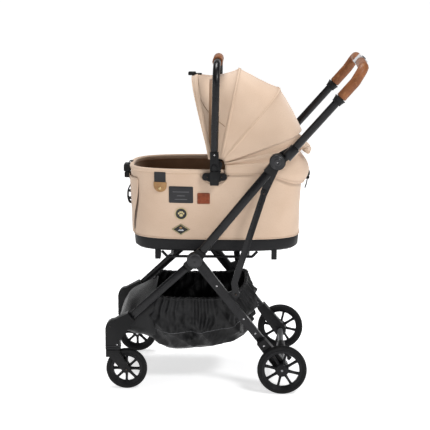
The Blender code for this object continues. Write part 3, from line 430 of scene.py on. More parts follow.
def even(points, pitch, closed=False):
    """The same path with points a pitch apart."""
    points = [Vector(p) for p in points]
    if closed:
        points.append(points[0])
    count = max(2, round(lengths(points)[-1] / pitch))
    out = []
    for mark in marks(points, count)[:count if closed else None]:
        i = min(int(mark), len(points) - 2)
        out.append(points[i].lerp(points[i + 1], mark - i))
    return out


def stitches(name, path, up, look, body, pitch=4.2 * MM, long=2.7 * MM, radius=0.42 * MM,
        closed=False, slant=0.0, ups=None):
    """A row of separate stitches along a path, in one mesh."""
    spots = even(path, pitch, closed)
    axes = frames(spots, up, closed)
    verts, faces = [], []
    for i, spot in enumerate(spots[:-1] if not closed else spots):
        tangent, side, lift = axes[i]
        if ups:
            lift = Vector(ups(spot)).normalized()
            side = tangent.cross(lift).normalized()
        run = (tangent + side * slant).normalized()
        cross = run.cross(lift).normalized()
        base = len(verts)
        for along, size in ((-0.5, 0.45), (-0.3, 1.0), (0.3, 1.0), (0.5, 0.45)):
            for k in range(6):
                a = pi * k / 3
                verts.append(spot + run * (long * along) + (cross * cos(a) + lift * sin(a))
                    * (radius * size))
        faces += [tuple(base + k for k in face) for face in quads(4, 6) + caps(4, 6)]
    return piece(name, verts, faces, look, body)


def lathe(name, profile, centre, look, body, steps=64, axis=(1, 0, 0), side=1, **extra):
    """A closed profile of (radius, along) turned round an axis, or mirrored along it."""
    axis = Vector(axis).normalized()
    one = axis.orthogonal().normalized()
    two = axis.cross(one)
    verts = []
    for s in range(steps):
        a = 2 * pi * s / steps
        out = one * cos(a) + two * sin(a)
        verts += [Vector(centre) + out * r + axis * (side * x) for r, x in profile]
    obj = piece(name, verts, quads(steps, len(profile), looped=True), look, body, **extra)
    clean(obj.data, weld=1e-6)
    return obj


def slab(name, outline, layer, look, body, bevel, segments=3):
    """A flat plate: an outline of (y, z) points between two X values, with rounded edges."""
    low, high = sorted(layer)
    count = len(outline)
    verts = [(low, y, z) for y, z in outline] + [(high, y, z) for y, z in outline]
    faces = [tuple(range(count)), tuple(range(2 * count - 1, count - 1, -1))] + quads(2, count)
    obj = outward(piece(name, verts, faces, look, body))
    return modify(obj, "BEVEL", width=bevel, segments=segments, limit_method="ANGLE",
        angle_limit=0.6, harden_normals=True)


def refine(node, look, bevel):
    """A copy of a CAD node with rounded edges, which stands for it."""
    source = NODES[node]
    mesh = source.data.copy()
    clean(mesh, weld=2e-6, flatten=0.012)
    mesh.shade_smooth()
    obj = bpy.data.objects.new(f"{node}_finished", mesh)
    bpy.context.scene.collection.objects.link(obj)
    mesh.materials.clear()
    mesh.materials.append(M[look])
    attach(obj, source["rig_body"])
    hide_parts(node)
    modify(obj, "BEVEL", width=bevel, segments=2, limit_method="ANGLE", angle_limit=0.55,
        harden_normals=True, use_clamp_overlap=True)


# ---------------------------------------------------------------- shapes the CAD gives
TUB_RINGS = ((0.461, 0.138, 0.2578), (0.56, 0.143, 0.26), (0.67, 0.147, 0.2665))
TUB_Y = -0.0635
PLAN = 0.62                        # exponent of the tub's rounded plan
FINE = 3600                        # steps in which an even spacing is looked for
RIM_Z, RIM_HALF_WIDTH, RIM_HALF_LENGTH = 0.6752, 0.145, 0.2645
CANOPY_PIVOT = Vector((0, -0.049, 0.701))
ARCH = 0.72                        # exponent of the bows' rounded arch
FABRIC_HALF_WIDTH, FABRIC_CLEAR, FABRIC_START = 0.1555, 0.005, 0.014
BOWS = {"edge": (109.9, 0.26, 0.028), "front": (106.6, 0.26, 0.026),
    "middle": (78.2, 0.272, 0.0), "rear": (49.4, 0.272, 0.0), "hem": (18.4, 0.259, 0.0)}
HUB, FOLD = Vector((0, -0.123, 0.413)), Vector((0, 0.125, 0.717))
LEG_TIP, REAR_LEG_TIP = Vector((0, -0.319, 0.232)), Vector((0, 0.078, 0.1593))
BAIL_PIVOT = Vector((0, -0.065, 0.693))
HANDLE_START, HANDLE_KNEE = Vector((0, 0.1551, 0.7316)), Vector((0, 0.352, 0.9545))
HANDLE_TUBE_R = 0.012
REAR_AXLE, FRONT_AXLE = Vector((0, 0.144, 0.076)), Vector((0, -0.336, 0.0635))
REAR_TRACK, FRONT_TRACK = 0.235, 0.195
REAR_WHEEL_R, FRONT_WHEEL_R, WHEEL_WIDTH, TYRE_DEPTH = 0.076, 0.0635, 0.024, 0.0125
MOUNT_AT = (-0.065, 0.669)
CASTER_BOX = (0.1756, 0.2144, -0.399, -0.3546)     # X and Y of its housing's foot
BAIL_GRIP_SEAM = (-0.0428, 0.9995)
PIVOT_CAP_X, GRIP_X, GRIP_R = 0.225, 0.2, 0.0154


def power(value, exponent):
    return copysign(abs(value) ** exponent, value)


def smooth(value, low, high):
    """A smooth step from 0 to 1."""
    t = min(1.0, max(0.0, (value - low) / (high - low)))
    return t * t * (3 - 2 * t)


def oval(a, half_width, half_length, y, z, exponent=PLAN):
    """A point of a rounded rectangle in plan; a runs from +X towards +Y."""
    return Vector((half_width * power(cos(a), exponent), y + half_length * power(sin(a), exponent),
        z))


def even_turns(count, half_width, half_length, exponent=PLAN):
    """Angles whose points lie evenly along a rounded rectangle."""
    fine = [oval(2 * pi * k / FINE, half_width, half_length, 0, 0, exponent)
        for k in range(FINE + 1)]
    return [2 * pi * mark / FINE for mark in marks(fine, count)[:-1]]


def tub_size(z):
    low, high = TUB_RINGS[:2] if z <= TUB_RINGS[1][0] else TUB_RINGS[1:]
    share = (z - low[0]) / (high[0] - low[0])
    return tuple(low[i] + (high[i] - low[i]) * share for i in (1, 2))


def tub(a, z, out=0.0):
    """A point at an angle and a height, a distance outside the carrier's wall."""
    half_width, half_length = tub_size(z)
    normal = Vector((power(cos(a), 2 - PLAN) / half_width, power(sin(a), 2 - PLAN) / half_length,
        0)).normalized()
    return oval(a, half_width, half_length, TUB_Y, z) + normal * out


def tub_angle(y, z):
    """The angle on the +X side at a place along the tub."""
    return asin(power((y - TUB_Y) / tub_size(z)[1], 1 / PLAN))


def on_tub(side, y, z, out):
    point = tub(tub_angle(y, z), z, out)
    return Vector((side * point.x, point.y, point.z))


def crease(point, scale, seed=0.0, stretch=(1, 1, 1)):
    """Smooth noise from about -1 to 1."""
    spot = Vector(point)
    return noise.noise(Vector([spot[i] * stretch[i] * scale for i in range(3)])
        + Vector((seed, 0, 0)))


TURNS = even_turns(184, 0.143, 0.26)
COVER_Z = (0.4618, 0.6725)
CUSHION_Z = (0.4665, 0.49)
CUSHION_SEAMS = (-0.125, -0.042, 0.042, 0.125)      # along the tub, from its middle
CUSHION_PLAN = (0.127, 0.243)       # half width and half length
PUFF_FRAMES, PUFF_PRESSURE = 20, 4.0
PUFF_LIMIT_TOP, PUFF_LIMIT_BASE = 0.004, 0.0008     # how far a point may swell
CLOTH_THICK = 0.0012
BADGE_OUT, PRINT_OUT, PRINT_THICK = 0.0024, 0.0032, 0.0006
POCKET_Z = (0.4655, 0.646)
POCKET_SIDE_Z = (0.47, 0.62)      # where its side edges lean
POCKET_EDGES = (74.0, 57.4)         # degrees from the side, below and above
VENT_ROWS, VENT_COLUMNS, VENT_HOLE_R = 9, 25, 0.0013


# ---------------------------------------------------------------- carrier
def carrier_cover():
    """Beige cloth stretched over the tub, slightly slack."""
    low, high = COVER_Z
    rows = [[tub(a, low + 0.0002, -0.002) for a in TURNS]]
    for k in range(45):
        z = low + (high - low) * k / 44
        hold = smooth(z, 0.462, 0.475) * (1 - smooth(z, 0.655, high))
        row = []
        for a in TURNS:
            spot = tub(a, z)
            slack = 1.1 * crease(spot, 9.0, 3.0) + 0.5 * crease(spot, 24.0, 5.0, (1, 1, 0.45))
            row.append(tub(a, z, 0.0012 + hold * MM * (0.7 + slack)))
        rows.append(row)
    cover = grid("carrier_cover", rows, "beige", "carrier", closed=True, slot="beige_fabric",
        replaces=("carrier_shell",))
    welt = even([tub(a, 0.4625, 0.0018) for a in TURNS], 0.006, closed=True)
    sweep("carrier_welt", welt, ring(0.0017, 8), "binding", "carrier", closed=True,
        slot="beige_fabric")


def carrier_lining():
    """Brown lining inside the tub, down the walls and across the floor."""
    rows = []
    for k in range(25):
        z = 0.676 - (0.676 - 0.4655) * k / 24
        rows.append([tub(a, z, -0.0046 - 0.0012 * abs(crease(tub(a, z), 14.0, 9.0)))
            for a in TURNS])
    for size in (0.9, 0.6, 0.3, 0.02):
        rows.append([oval(a, 0.1325 * size, 0.25 * size, TUB_Y, 0.4645) for a in TURNS])
    lining = grid("carrier_lining", rows, "lining", "carrier", closed=True, slot="cushion_brown")


def rim_binding():
    """Cloth binding round the rim wire, with a row of stitches each side."""
    path = even([oval(a, RIM_HALF_WIDTH, RIM_HALF_LENGTH, TUB_Y, RIM_Z) for a in TURNS], 0.006,
        closed=True)
    section = [(0.0064 * cos(t) * (1.0 if sin(t) > -0.2 else 0.86), 0.006 * sin(t)
        - (0.0035 if sin(t) < -0.2 else 0)) for t in (2 * pi * k / 14 for k in range(14))]
    sweep("rim_binding", path, section, "binding", "carrier", closed=True, slot="beige_fabric",
        replaces=("carrier_rim",))
    row = [tub(a, 0.6675, 0.003) for a in TURNS]
    stitches("rim_stitching", row, (0, 0, 1), "thread", "carrier", closed=True)


def cushion():
    """Padded mat on the floor: swollen by a cloth simulation, with sewn channels and piping."""
    low, high = CUSHION_Z
    turns = even_turns(72, 0.129, 0.245)
    levels = ((low, 0.955), (low + 0.004, 0.99), (high - 0.006, 0.985), (high, 0.93))
    half_width, half_length = CUSHION_PLAN
    verts = [oval(a, half_width * size, half_length * size, TUB_Y, z) for z, size in levels
        for a in turns]
    faces = quads(len(levels), len(turns)) + caps(len(levels), len(turns))
    pad = outward(piece("carrier_cushion", verts, faces, "lining", None))
    bpy.context.view_layer.objects.active = pad
    modify(pad, "REMESH", mode="VOXEL", voxel_size=0.006)
    apply_all(pad)
    rest = [v.co.copy() for v in pad.data.vertices]
    puff(pad)
    for vertex, home in zip(pad.data.vertices, rest):
        move = vertex.co - home
        limit = PUFF_LIMIT_TOP if home.z > 0.475 else PUFF_LIMIT_BASE
        if move.length > limit:
            vertex.co = home + move * (limit / move.length)
    for vertex in pad.data.vertices:
        spot = vertex.co
        if spot.z > high - 0.006:
            across = min(abs(spot.y - TUB_Y - place) for place in CUSHION_SEAMS)
            spot.z -= 0.0042 * exp(-(across / 0.0065) ** 2)
            spot.z += 0.0007 * crease(spot, 22.0, 2.0)
    pad.data.shade_smooth()
    modify(pad, "SUBSURF", levels=1, render_levels=1)
    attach(pad, "carrier")
    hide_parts("cushion")
    edge = even([oval(a, 0.1275, 0.2435, TUB_Y, 0.4845) for a in turns], 0.006, closed=True)
    sweep("cushion_piping", edge, ring(0.0019, 8), "lining", "carrier", closed=True)


def apply_all(obj):
    """Replace the object's mesh with the evaluated one and drop its modifiers."""
    bpy.context.view_layer.update()
    graph = bpy.context.evaluated_depsgraph_get()
    mesh = bpy.data.meshes.new_from_object(obj.evaluated_get(graph))
    for modifier in list(obj.modifiers):
        obj.modifiers.remove(modifier)
    obj.data = mesh


def puff(obj):
    """Swell a closed mesh with a short cloth simulation."""
    modifier = obj.modifiers.new("cloth", "CLOTH")
    modifier.settings.use_pressure = True
    modifier.settings.uniform_pressure_force = PUFF_PRESSURE
    modifier.settings.effector_weights.gravity = 0
    modifier.point_cache.frame_start, modifier.point_cache.frame_end = 1, PUFF_FRAMES
    for frame_number in range(1, PUFF_FRAMES + 1):
        bpy.context.scene.frame_set(frame_number)
    apply_all(obj)
    bpy.context.scene.frame_set(1)


def patch(name, outline, out, thick, look, side=1, slot="beige_fabric", steps=None):
    """A flat thing sewn to the tub's side, from its outline of (y, z) points."""
    if steps:
        outline = [p.yz for p in even([(0, y, z) for y, z in outline], steps, closed=True)]
    count = len(outline)
    mid_y, mid_z = (sum(p[i] for p in outline) / count for i in (0, 1))
    soft = min(0.3, 0.0007 / max(hypot(y - mid_y, z - mid_z) for y, z in outline))
    rings = ((1.0, 0.0), (1.0, 0.6), (1 - soft, 1.0), (0.7, 1.0), (0.4, 1.0), (0.1, 1.0))
    verts, uvs = [], []
    for size, lift in rings:
        for y, z in outline:
            uvs.append((mid_y + (y - mid_y) * size, mid_z + (z - mid_z) * size))
            verts.append(on_tub(side, *uvs[-1], out + thick * lift))
    faces = quads(len(rings), count) + caps(len(rings), count)[::-1]
    obj = outward(piece(name, verts, faces, look, "carrier", uvs=uvs, slot=slot))
    obj.data.set_sharp_from_angle(angle=0.9)


def diamond(y, z, across, up):
    return [(y + across, z), (y, z + up), (y - across, z), (y, z - up)]


def on_side(outline, side, out):
    return [on_tub(side, *point, out) for point in outline]


def border(name, outline, out, radius, look):
    """A raised line round a shape on the left side."""
    sweep(name, on_side(outline, 1, out), ring(radius, 6), look, "carrier", (1, 0, 0), closed=True)


def carrier_badges():
    """Plain sewn labels on the left side: no lettering, only simple shapes."""
    patch("label", rounded(-0.205, -0.1307, 0.5757, 0.6277, 0.0015), BADGE_OUT, 0.0009, "webbing",
        steps=0.004)
    row = on_side(rounded(-0.2025, -0.1332, 0.5782, 0.6252, 0.001), 1, 0.0035)
    stitches("label_stitching", row, (1, 0, 0), "thread_grey", "carrier", 0.0034, 0.0022, 0.0003,
        closed=True)
    for k, (low, high, up) in enumerate(((-0.194, -0.142, 0.6105), (-0.181, -0.155, 0.5985),
            (-0.188, -0.148, 0.587))):
        patch(f"label_stripe_{k + 1}", rounded(low, high, up - 0.0012, up + 0.0012, 0.001, 3),
            0.0031, 0.0005, "thread_grey", steps=0.003)
    patch("leather_patch", rounded(-0.1184, -0.0796, 0.5735, 0.6083, 0.003), BADGE_OUT, 0.0016,
        "patch", slot="leather", steps=0.003)
    row = on_side(rounded(-0.1164, -0.0816, 0.5755, 0.6063, 0.002), 1, 0.0042)
    stitches("leather_patch_stitching", row, (1, 0, 0), "thread", "carrier", 0.003, 0.0019,
        0.0003, closed=True)
    border("leather_patch_seal", disc(-0.099, 0.5909, 0.0095, 0.0068, 36), 0.0041, 0.0005, "patch")
    y, z = -0.1677, 0.5418
    patch("round_badge", disc(y, z, 0.0184, steps=44), BADGE_OUT, 0.001, "webbing")
    border("round_badge_border", disc(y, z, 0.0176, steps=44), 0.0036, 0.001, "cream")
    for k, (dy, dz, r) in enumerate(((0, -0.0045, 0.0056), (-0.0075, 0.0012, 0.0024),
            (-0.0028, 0.0052, 0.0026), (0.0028, 0.0052, 0.0026), (0.0075, 0.0012, 0.0024))):
        patch(f"round_badge_pad_{k + 1}", disc(y + dy, z + dz, r, r * (0.8 if not k else 1.3), 16),
            PRINT_OUT, PRINT_THICK, "cream")
    y, z = -0.1693, 0.4924
    patch("diamond_badge", diamond(y, z, 0.028, 0.018), BADGE_OUT, 0.001, "webbing", steps=0.003)
    line = even([(0, *p) for p in diamond(y, z, 0.025, 0.016)], 0.002, closed=True)
    border("diamond_badge_border", [p.yz for p in line], 0.0036, 0.0008, "cream")
    patch("diamond_badge_sun", disc(y, z + 0.0055, 0.0042, 0.003, 18), PRINT_OUT, PRINT_THICK, "tan")
    hill = ((-0.009, -0.0045), (-0.003, 0.0005), (0.001, -0.0018), (0.005, 0.001), (0.01, -0.0045))
    patch("diamond_badge_hill", [(y + dy, z + dz) for dy, dz in hill], PRINT_OUT, PRINT_THICK,
        "grey", steps=0.0015)


def carrier_straps():
    """Webbing and a leather tab with a snap on each side."""
    tab = arc(-0.2312, 0.629, 0.02, 0.0205, pi, 2 * pi, 20)
    tab += [(-0.2112, 0.6395), (-0.2512, 0.6395)]
    snap = [(0.0002, 0), (0.0042, 0), (0.0042, 0.0008), (0.003, 0.0016), (0.0002, 0.0019)]
    for side, label in SIDES:
        patch(f"side_webbing_{label}", rounded(-0.2495, -0.2145, 0.633, 0.6712, 0.0008, 2),
            0.0022, 0.002, "webbing", side, steps=0.003)
        patch(f"side_tab_{label}", tab, 0.004, 0.0018, "tan", side, "leather", steps=0.003)
        lathe(f"side_snap_{label}", snap, on_tub(side, -0.2317, 0.62, 0.0058), "brass",
            "carrier", 24, side=side)


def front_pocket():
    """A cloth panel round the front end, open along both sides, with a vent of small holes. The
    shade in the side openings and in the holes is painted: dark strips and dark dimples.
    """
    def turn(z, share):
        wide, narrow = POCKET_EDGES
        edge = radians(wide - (wide - narrow) * smooth(z, *POCKET_SIDE_Z))
        return -pi / 2 + (pi / 2 - edge) * (2 * share - 1)

    def panel(z, share, lift):
        a = turn(z, share)
        rise = 0.0022 + 0.004 * max(0.0, sin(pi * share)) ** 0.6
        tall = min(1.0, max(0.0, (z - 0.47) / 0.155))
        gape = 0.0034 * smooth(abs(2 * share - 1), 0.8, 1.0) * (4 * tall * (1 - tall)) ** 0.5
        wave = 0.001 * crease(tub(a, z), 22.0, 7.0)
        return tub(a, z, rise + gape + wave + lift)

    low, high = POCKET_Z
    rows = [[panel(low + (high - low) * k / 30, c / 48, 0.0) for c in range(49)] for k in range(31)]
    cloth_panel = grid("front_panel", rows, "beige", "carrier", slot="beige_fabric")
    modify(cloth_panel, "SOLIDIFY", thickness=CLOTH_THICK, offset=1.0)
    for side, label in SIDES:
        strip = []
        for k in range(33):
            z = 0.47 + 0.145 * k / 32
            wide = 0.105 * smooth(z, 0.47, 0.486) * (1 - smooth(z, 0.495, 0.625)) + 0.002
            strip.append([tub(turn(z, 0.5 + side * (0.5 + share * wide)), z, 0.0034)
                for share in (-0.5, 0, 0.5, 1)])
        # a dark strip under the panel's side edge: painted shade in the opening
        grid(f"panel_slit_shade_{label}", strip, "shade", "carrier")
        edge = [panel(0.47 + 0.172 * k / 40, 1.0 if side > 0 else 0.0, 0.0007) for k in range(41)]
        sweep(f"panel_edge_{label}", edge, ring(0.0013, 8), "binding", "carrier", (1, 0, 0))
    verts, faces = [], []
    for row in range(VENT_ROWS):
        z = 0.548 + 0.0075 * row
        for col in range(VENT_COLUMNS):
            share = 0.28 + 0.44 * (col + 0.5 * (row % 2)) / VENT_COLUMNS
            spot, base = panel(z, share, 0.0014), len(verts)
            normal = (spot - panel(z, share, 0.0)).normalized()
            one = normal.cross(Vector((0, 0, 1))).normalized()
            verts += [spot + one * u + Vector((0, 0, v)) for u, v in ring(VENT_HOLE_R, 8)]
            verts.append(spot - normal * 0.0004)
            faces += [(base + k, base + (k + 1) % 8, base + 8) for k in range(8)]
    # dark dimples in shade cloth: painted shade for the vent's holes
    piece("front_vent_shade", verts, faces, "shade", "carrier")


def end_buckles():
    """A side-release buckle on webbing at each end, and a ring on a strap in front."""
    for end, label, wall, size in ((-1, "front", -0.33, (0.022, 0.043, 0.04)),
            (1, "rear", 0.211, (0.015, 0.026, 0.032))):
        top = 0.674 if end < 0 else 0.655
        far = wall + end * 0.008
        strap = smooth_path([(0, wall - end * 0.004, top + 0.008), (0, far, top + 0.006),
            (0, far + end * 0.004, top - 0.012), (0, far, top - 0.04),
            (0, wall + end * 0.003, top - 0.056)], 8)
        sweep(f"{label}_strap", strap, flat(0.026, 0.0018), "webbing", "carrier", (0, end, 0.2))
        deep, tall, wide = size
        middle = wall + end * (0.003 + deep / 2)
        for k, (low, high, share) in enumerate(((0.46, 1.0, 1.0), (0.0, 0.42, 0.82))):
            outline = rounded(middle - deep * share / 2, middle + deep * share / 2, top - tall
                + tall * low, top - tall + tall * high, 0.004)
            slab(f"{label}_buckle_{k + 1}", outline, (-wide * share / 2, wide * share / 2),
                "plastic", "carrier", 0.0022)
    loop = smooth_path([(0, -0.3265, 0.614), (0, -0.335, 0.6065), (0, -0.3425, 0.59),
        (0, -0.344, 0.57), (0, -0.34, 0.553), (0, -0.333, 0.549), (0, -0.3265, 0.55)], 6)
    sweep("front_ring_strap", loop, flat(0.024, 0.004), "webbing", "carrier", (0, -1, 0.2))
    for k, z in enumerate((0.586, 0.563)):
        bar = [(x, -0.3345 - y, z + x * 4 / 15) for x, y in disc(0, 0, 0.015, 0.007, 24)]
        sweep(f"front_ring_{k + 1}", bar, ring(0.0036, 8), "plastic", "carrier", closed=True)


carrier_cover()
carrier_lining()
rim_binding()
cushion()
carrier_badges()
carrier_straps()
front_pocket()
end_buckles()


# ---------------------------------------------------------------- canopy
CANOPY_STEPS = 84
FRONT_SAG = 0.011


def arch_point(angle, reach, fore, t, out=0.0):
    """A point of the canopy's fabric: t runs over the canopy from 0, on the left, to 1.

    The two ends of the arch stand a distance, fore, in front of the pivot.
    """
    reach += FABRIC_CLEAR
    first = asin((FABRIC_START / reach) ** (1 / ARCH))
    turn = first + (pi - 2 * first) * t
    lift = reach * sin(turn) ** ARCH
    lean = radians(angle)
    x = FABRIC_HALF_WIDTH * power(cos(turn), ARCH)
    away = Vector((0, cos(lean), sin(lean)))
    normal = (Vector((x / FABRIC_HALF_WIDTH, 0, 0)) + away * (lift / reach)).normalized()
    forward = Vector((0, -fore * (1 - lift / reach), 0))
    return CANOPY_PIVOT + Vector((x, 0, 0)) + away * lift + forward + normal * out


def spread(bow):
    """Shares t whose points lie evenly along the arch."""
    fine = [arch_point(*BOWS[bow], k / 600) for k in range(601)]
    return [mark / 600 for mark in marks(fine, CANOPY_STEPS)]


SHARES = spread("middle")


def between(first, second, u, t, sag):
    """A point of the cloth between two bows, which sags towards the pivot's axis."""
    a, b = BOWS[first], BOWS[second]
    point = arch_point(*a, t).lerp(arch_point(*b, t), u)
    inward = Vector((-point.x * 0.35, CANOPY_PIVOT.y - point.y, CANOPY_PIVOT.z - point.z))
    high = sin(pi * t) ** 0.5
    drop = sag * 4 * u * (1 - u) * high
    folds = 4 * u * (1 - u) * (0.0046 * crease(point, 12.0, 4.0, (1, 1, 0.7)) + 0.0016
        * crease(point, 34.0, 8.0, (1, 1, 0.5)))
    return point + inward.normalized() * (drop + folds)


def bow_reach_blend(obj):
    """Bake a panel's placement into its mesh."""
    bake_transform(obj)


def two_faced(name, rows, body, **extra):
    """Cloth that is beige outside and brown inside."""
    sheet = grid(name, rows, ["beige", "lining"], body, slot="beige_fabric", **extra)
    face_away(sheet, 0.5, CANOPY_PIVOT)
    return modify(sheet, "SOLIDIFY", thickness=CLOTH_THICK, offset=-1.0, material_offset=1)


def canopy_panel(part, rows):
    panel = two_faced(f"canopy_{part}_cloth", rows, None, replaces=(f"canopy_{part}",))
    apply_all(panel)
    return panel


def canopy():
    """The three cloth panels between the bows, each with its placement baked into its mesh."""
    shares = [k / 18 for k in range(19)]
    edge = [[arch_point(*BOWS["edge"], t).lerp(arch_point(*BOWS["front"], t), u) for t in SHARES]
        for u in (0.0, 0.5)]
    front = [[between("front", "middle", u, t, FRONT_SAG) for t in SHARES] for u in shares]
    panel = canopy_panel("front", edge + front)
    bow_reach_blend(panel)
    rows = [[between("middle", "rear", u, t, 0.0025) for t in SHARES] for u in shares]
    panel = canopy_panel("middle", rows)
    bow_reach_blend(panel)
    rows = [[between("rear", "hem", u, t, -0.002) for t in SHARES] for u in shares]
    rows.append([between("rear", "hem", 1.0, t, 0).lerp(CANOPY_PIVOT, 0.012)
        + Vector((0, 0.0, -0.003)) for t in SHARES])
    panel = canopy_panel("rear", rows)
    ends = [arch_point(*BOWS[bow], 0.5).lerp(CANOPY_PIVOT, 0.45) for bow in ("hem", "rear")]
    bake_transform(panel)


def band(name, bow, ahead, lift, width, thick):
    """A strip of binding that follows a bow, some degrees ahead of it."""
    angle, reach, fore = BOWS[bow]
    path = [arch_point(angle + ahead, reach, fore, t, lift) for t in SHARES]
    ups = [p - arch_point(angle + ahead, reach, fore, t, -0.01) for p, t in zip(path, SHARES)]
    sweep(name, path, flat(width, thick), "binding", f"canopy_{bow}_bow", ups=ups)


def bow_stitches(name, bow, ahead, lift):
    angle, reach, fore = BOWS[bow]
    row = [arch_point(angle + ahead, reach, fore, t, lift) for t in SHARES]
    stitches(name, row, (0, 0, 1), "thread", f"canopy_{bow}_bow", ups=lambda spot: spot
        - CANOPY_PIVOT)


def bow_channels():
    """Sewn tunnels over the bows, each with two rows of stitches."""
    width = 0.0085
    for bow in ("middle", "rear"):
        band(f"bow_channel_{bow}", bow, 0, 0.0004, width, 0.0018)
        for sign, row in ((-1, "a"), (1, "b")):
            turn = degrees(sign * (width / 2 - 0.0012) / BOWS[bow][1])
            bow_stitches(f"bow_stitches_{bow}_{row}", bow, turn, 0.0014)


def front_hem():
    """Piping on the canopy's front edge, a hem band behind it and a black clip on top."""
    body = "canopy_front_bow"
    path = [arch_point(*BOWS["edge"], t, -0.0006) for t in SHARES]
    sweep("canopy_edge_piping", path, ring(0.0017, 8), "binding", body)
    band("canopy_hem_band", "front", 0.4, 0.0003, 0.0125, 0.0015)
    bow_stitches("canopy_hem_stitches", "front", -0.9, 0.0012)
    _, y, z = arch_point(*BOWS["edge"], 0.5)
    slab("canopy_clip", rounded(y - 0.0125, y + 0.0115, z + 0.002, z + 0.013, 0.003),
        (-0.009, 0.009), "plastic", body, 0.002)
    slab("canopy_clip_tongue", rounded(y + 0.004, y + 0.03, z + 0.0045, z + 0.0085, 0.0015),
        (-0.006, 0.006), "plastic", body, 0.001)


def canopy_trim():
    """A curved seam, ending in a dart, and a brown strip on each side of the front panel."""
    seam = [(0.05, 0.46), (0.04, 0.33), (0.05, 0.228), (0.27, 0.158), (0.6, 0.119), (0.88, 0.094)]
    gusset = [(0.33, 0.42), (0.31, 0.26), (0.26, 0.14), (0.18, 0.055), (0.12, 0.012)]
    for side, label in SIDES:
        for name, route, section in (("seam", seam, ring(0.001, 6)),
                ("gusset", gusset, flat(0.0085, 0.0024))):
            spots = smooth_path([Vector((*place, 0)) for place in route], 9)
            points = [between("front", "middle", p.x, p.y if side > 0 else 1 - p.y, FRONT_SAG)
                for p in spots]
            ups = [p - Vector((0, *CANOPY_PIVOT.yz)) for p in points]
            obj = sweep(f"canopy_{name}_{label}", points, section, "lining", None, ups=ups)
            bow_reach_blend(obj)


SKIRT_START = 0.03                 # angle from the side at which the skirt begins
ROLL_AT, ROLL_LEAN = Vector((0, 0.217, 0.7325)), radians(38)


def skirt_point(t, s):
    """The skirt from under the rear panel (s = 0), over the rim, to its lower edge (s = 1)."""
    turn = SKIRT_START + (pi - 2 * SKIRT_START) * t
    rear = smooth(sin(turn), 0.3, 0.95)
    hem = arch_point(*BOWS["hem"], t).lerp(CANOPY_PIVOT, 0.045)
    waist_z, low_z = 0.69 + 0.019 * rear, 0.6675 - 0.0385 * rear
    waist = tub(turn, 0.67, 0.008 * (1 - rear) - 0.006 * rear)
    waist.z = waist_z
    if s < 0.5:
        u = s / 0.5
        point = hem.lerp(waist, u)
        out = Vector((point.x, 0.7 * (point.y - TUB_Y), 0.1)).normalized()
        phase = 2.3 * u + 0.55 * crease((t * 3.1, 0, 0), 1.0, 2.0) + 0.25
        fold = 0.0072 * sin(2 * pi * phase) + 0.0042 * crease(point, 38.0, 1.0)
        return point + out * (sin(pi * u) ** 0.7 * (fold + 0.004))
    u = (s - 0.5) / 0.5
    z = waist_z + (low_z - waist_z) * u
    full = 0.0285 * sin(pi * min(1.0, 0.04 + 0.78 * u)) ** 1.1 - 0.006
    out = 0.008 * (1 - rear) + full * rear
    ripple = 0.0012 * crease(tub(turn, 0.66), 26.0, 1.0) * u
    point = tub(turn, 0.67, out + ripple)
    point.z = z
    return point


def canopy_skirt():
    """Cloth from the canopy's hem to the rim, hanging as a flap over the tub's rear end."""
    rows = [[skirt_point(t, s / 32) for t in SHARES] for s in range(33)]
    sheet = two_faced("canopy_skirt", rows, "carrier")
    sweep("canopy_skirt_piping", rows[-1], ring(0.0013, 8), "binding", "carrier")
    row = [skirt_point(t, 0.955) for t in SHARES]
    row = [p + (p - Vector((0, TUB_Y, 0.66))).normalized() * 0.0006 for p in row]
    stitches("canopy_skirt_stitches", row, (0, 0, 1), "thread", "carrier")


def rear_roll():
    """The rolled-up rear window cover, held under the hem."""
    def leaning(u, v):
        turn_cos, turn_sin = cos(ROLL_LEAN), sin(ROLL_LEAN)
        return u * turn_cos - v * turn_sin, u * turn_sin + v * turn_cos

    section = [leaning(0.0175 * power(u, 0.8), 0.0066 * power(v, 0.8)) for u, v in ring(1.0, 28)]
    path = [ROLL_AT + Vector((x / 1000, 0.001 * sin(x / 9) - (x / 1000) ** 2 * 1.2, 0.0007
        * sin(x / 7))) for x in range(-78, 79, 3)]
    roll = sweep("rear_roll", path, section, "beige", "carrier", slot="beige_fabric")
    modify(roll, "BEVEL", width=0.0012, segments=2, limit_method="ANGLE", angle_limit=0.9)
    for side, label in SIDES:
        curl = []
        for k in range(40):
            t = k / 39 * 3.4 * pi
            size = 1 - 0.72 * k / 39
            spot = leaning(0.016 * size * cos(t), 0.0056 * size * sin(t))
            curl.append(path[-1 if side > 0 else 0] + Vector((side * 0.0003, *spot)))
        sweep(f"rear_roll_curl_{label}", curl, ring(0.0006, 6), "lining", "carrier", (1, 0, 0))


canopy()
bow_channels()
front_hem()
canopy_trim()
canopy_skirt()
rear_roll()


# ---------------------------------------------------------------- storage basket
BASKET = ((0.106, 0.105, -0.235, 0.0), (0.122, 0.148, -0.262, 0.036),
    (0.17, 0.17, -0.322, 0.062), (0.225, 0.176, -0.332, 0.068), (0.28, 0.174, -0.298, 0.036))
BASKET_PLAN, BASKET_UNDER_LEGS = 0.55, 0.007
LEG_SLOPE = (HUB.z - LEG_TIP.z) / (HUB.y - LEG_TIP.y)
BASKET_TURNS = even_turns(400, 0.17, 0.185, BASKET_PLAN)
BASKET_FRONT_HALF_WIDTH = 0.166


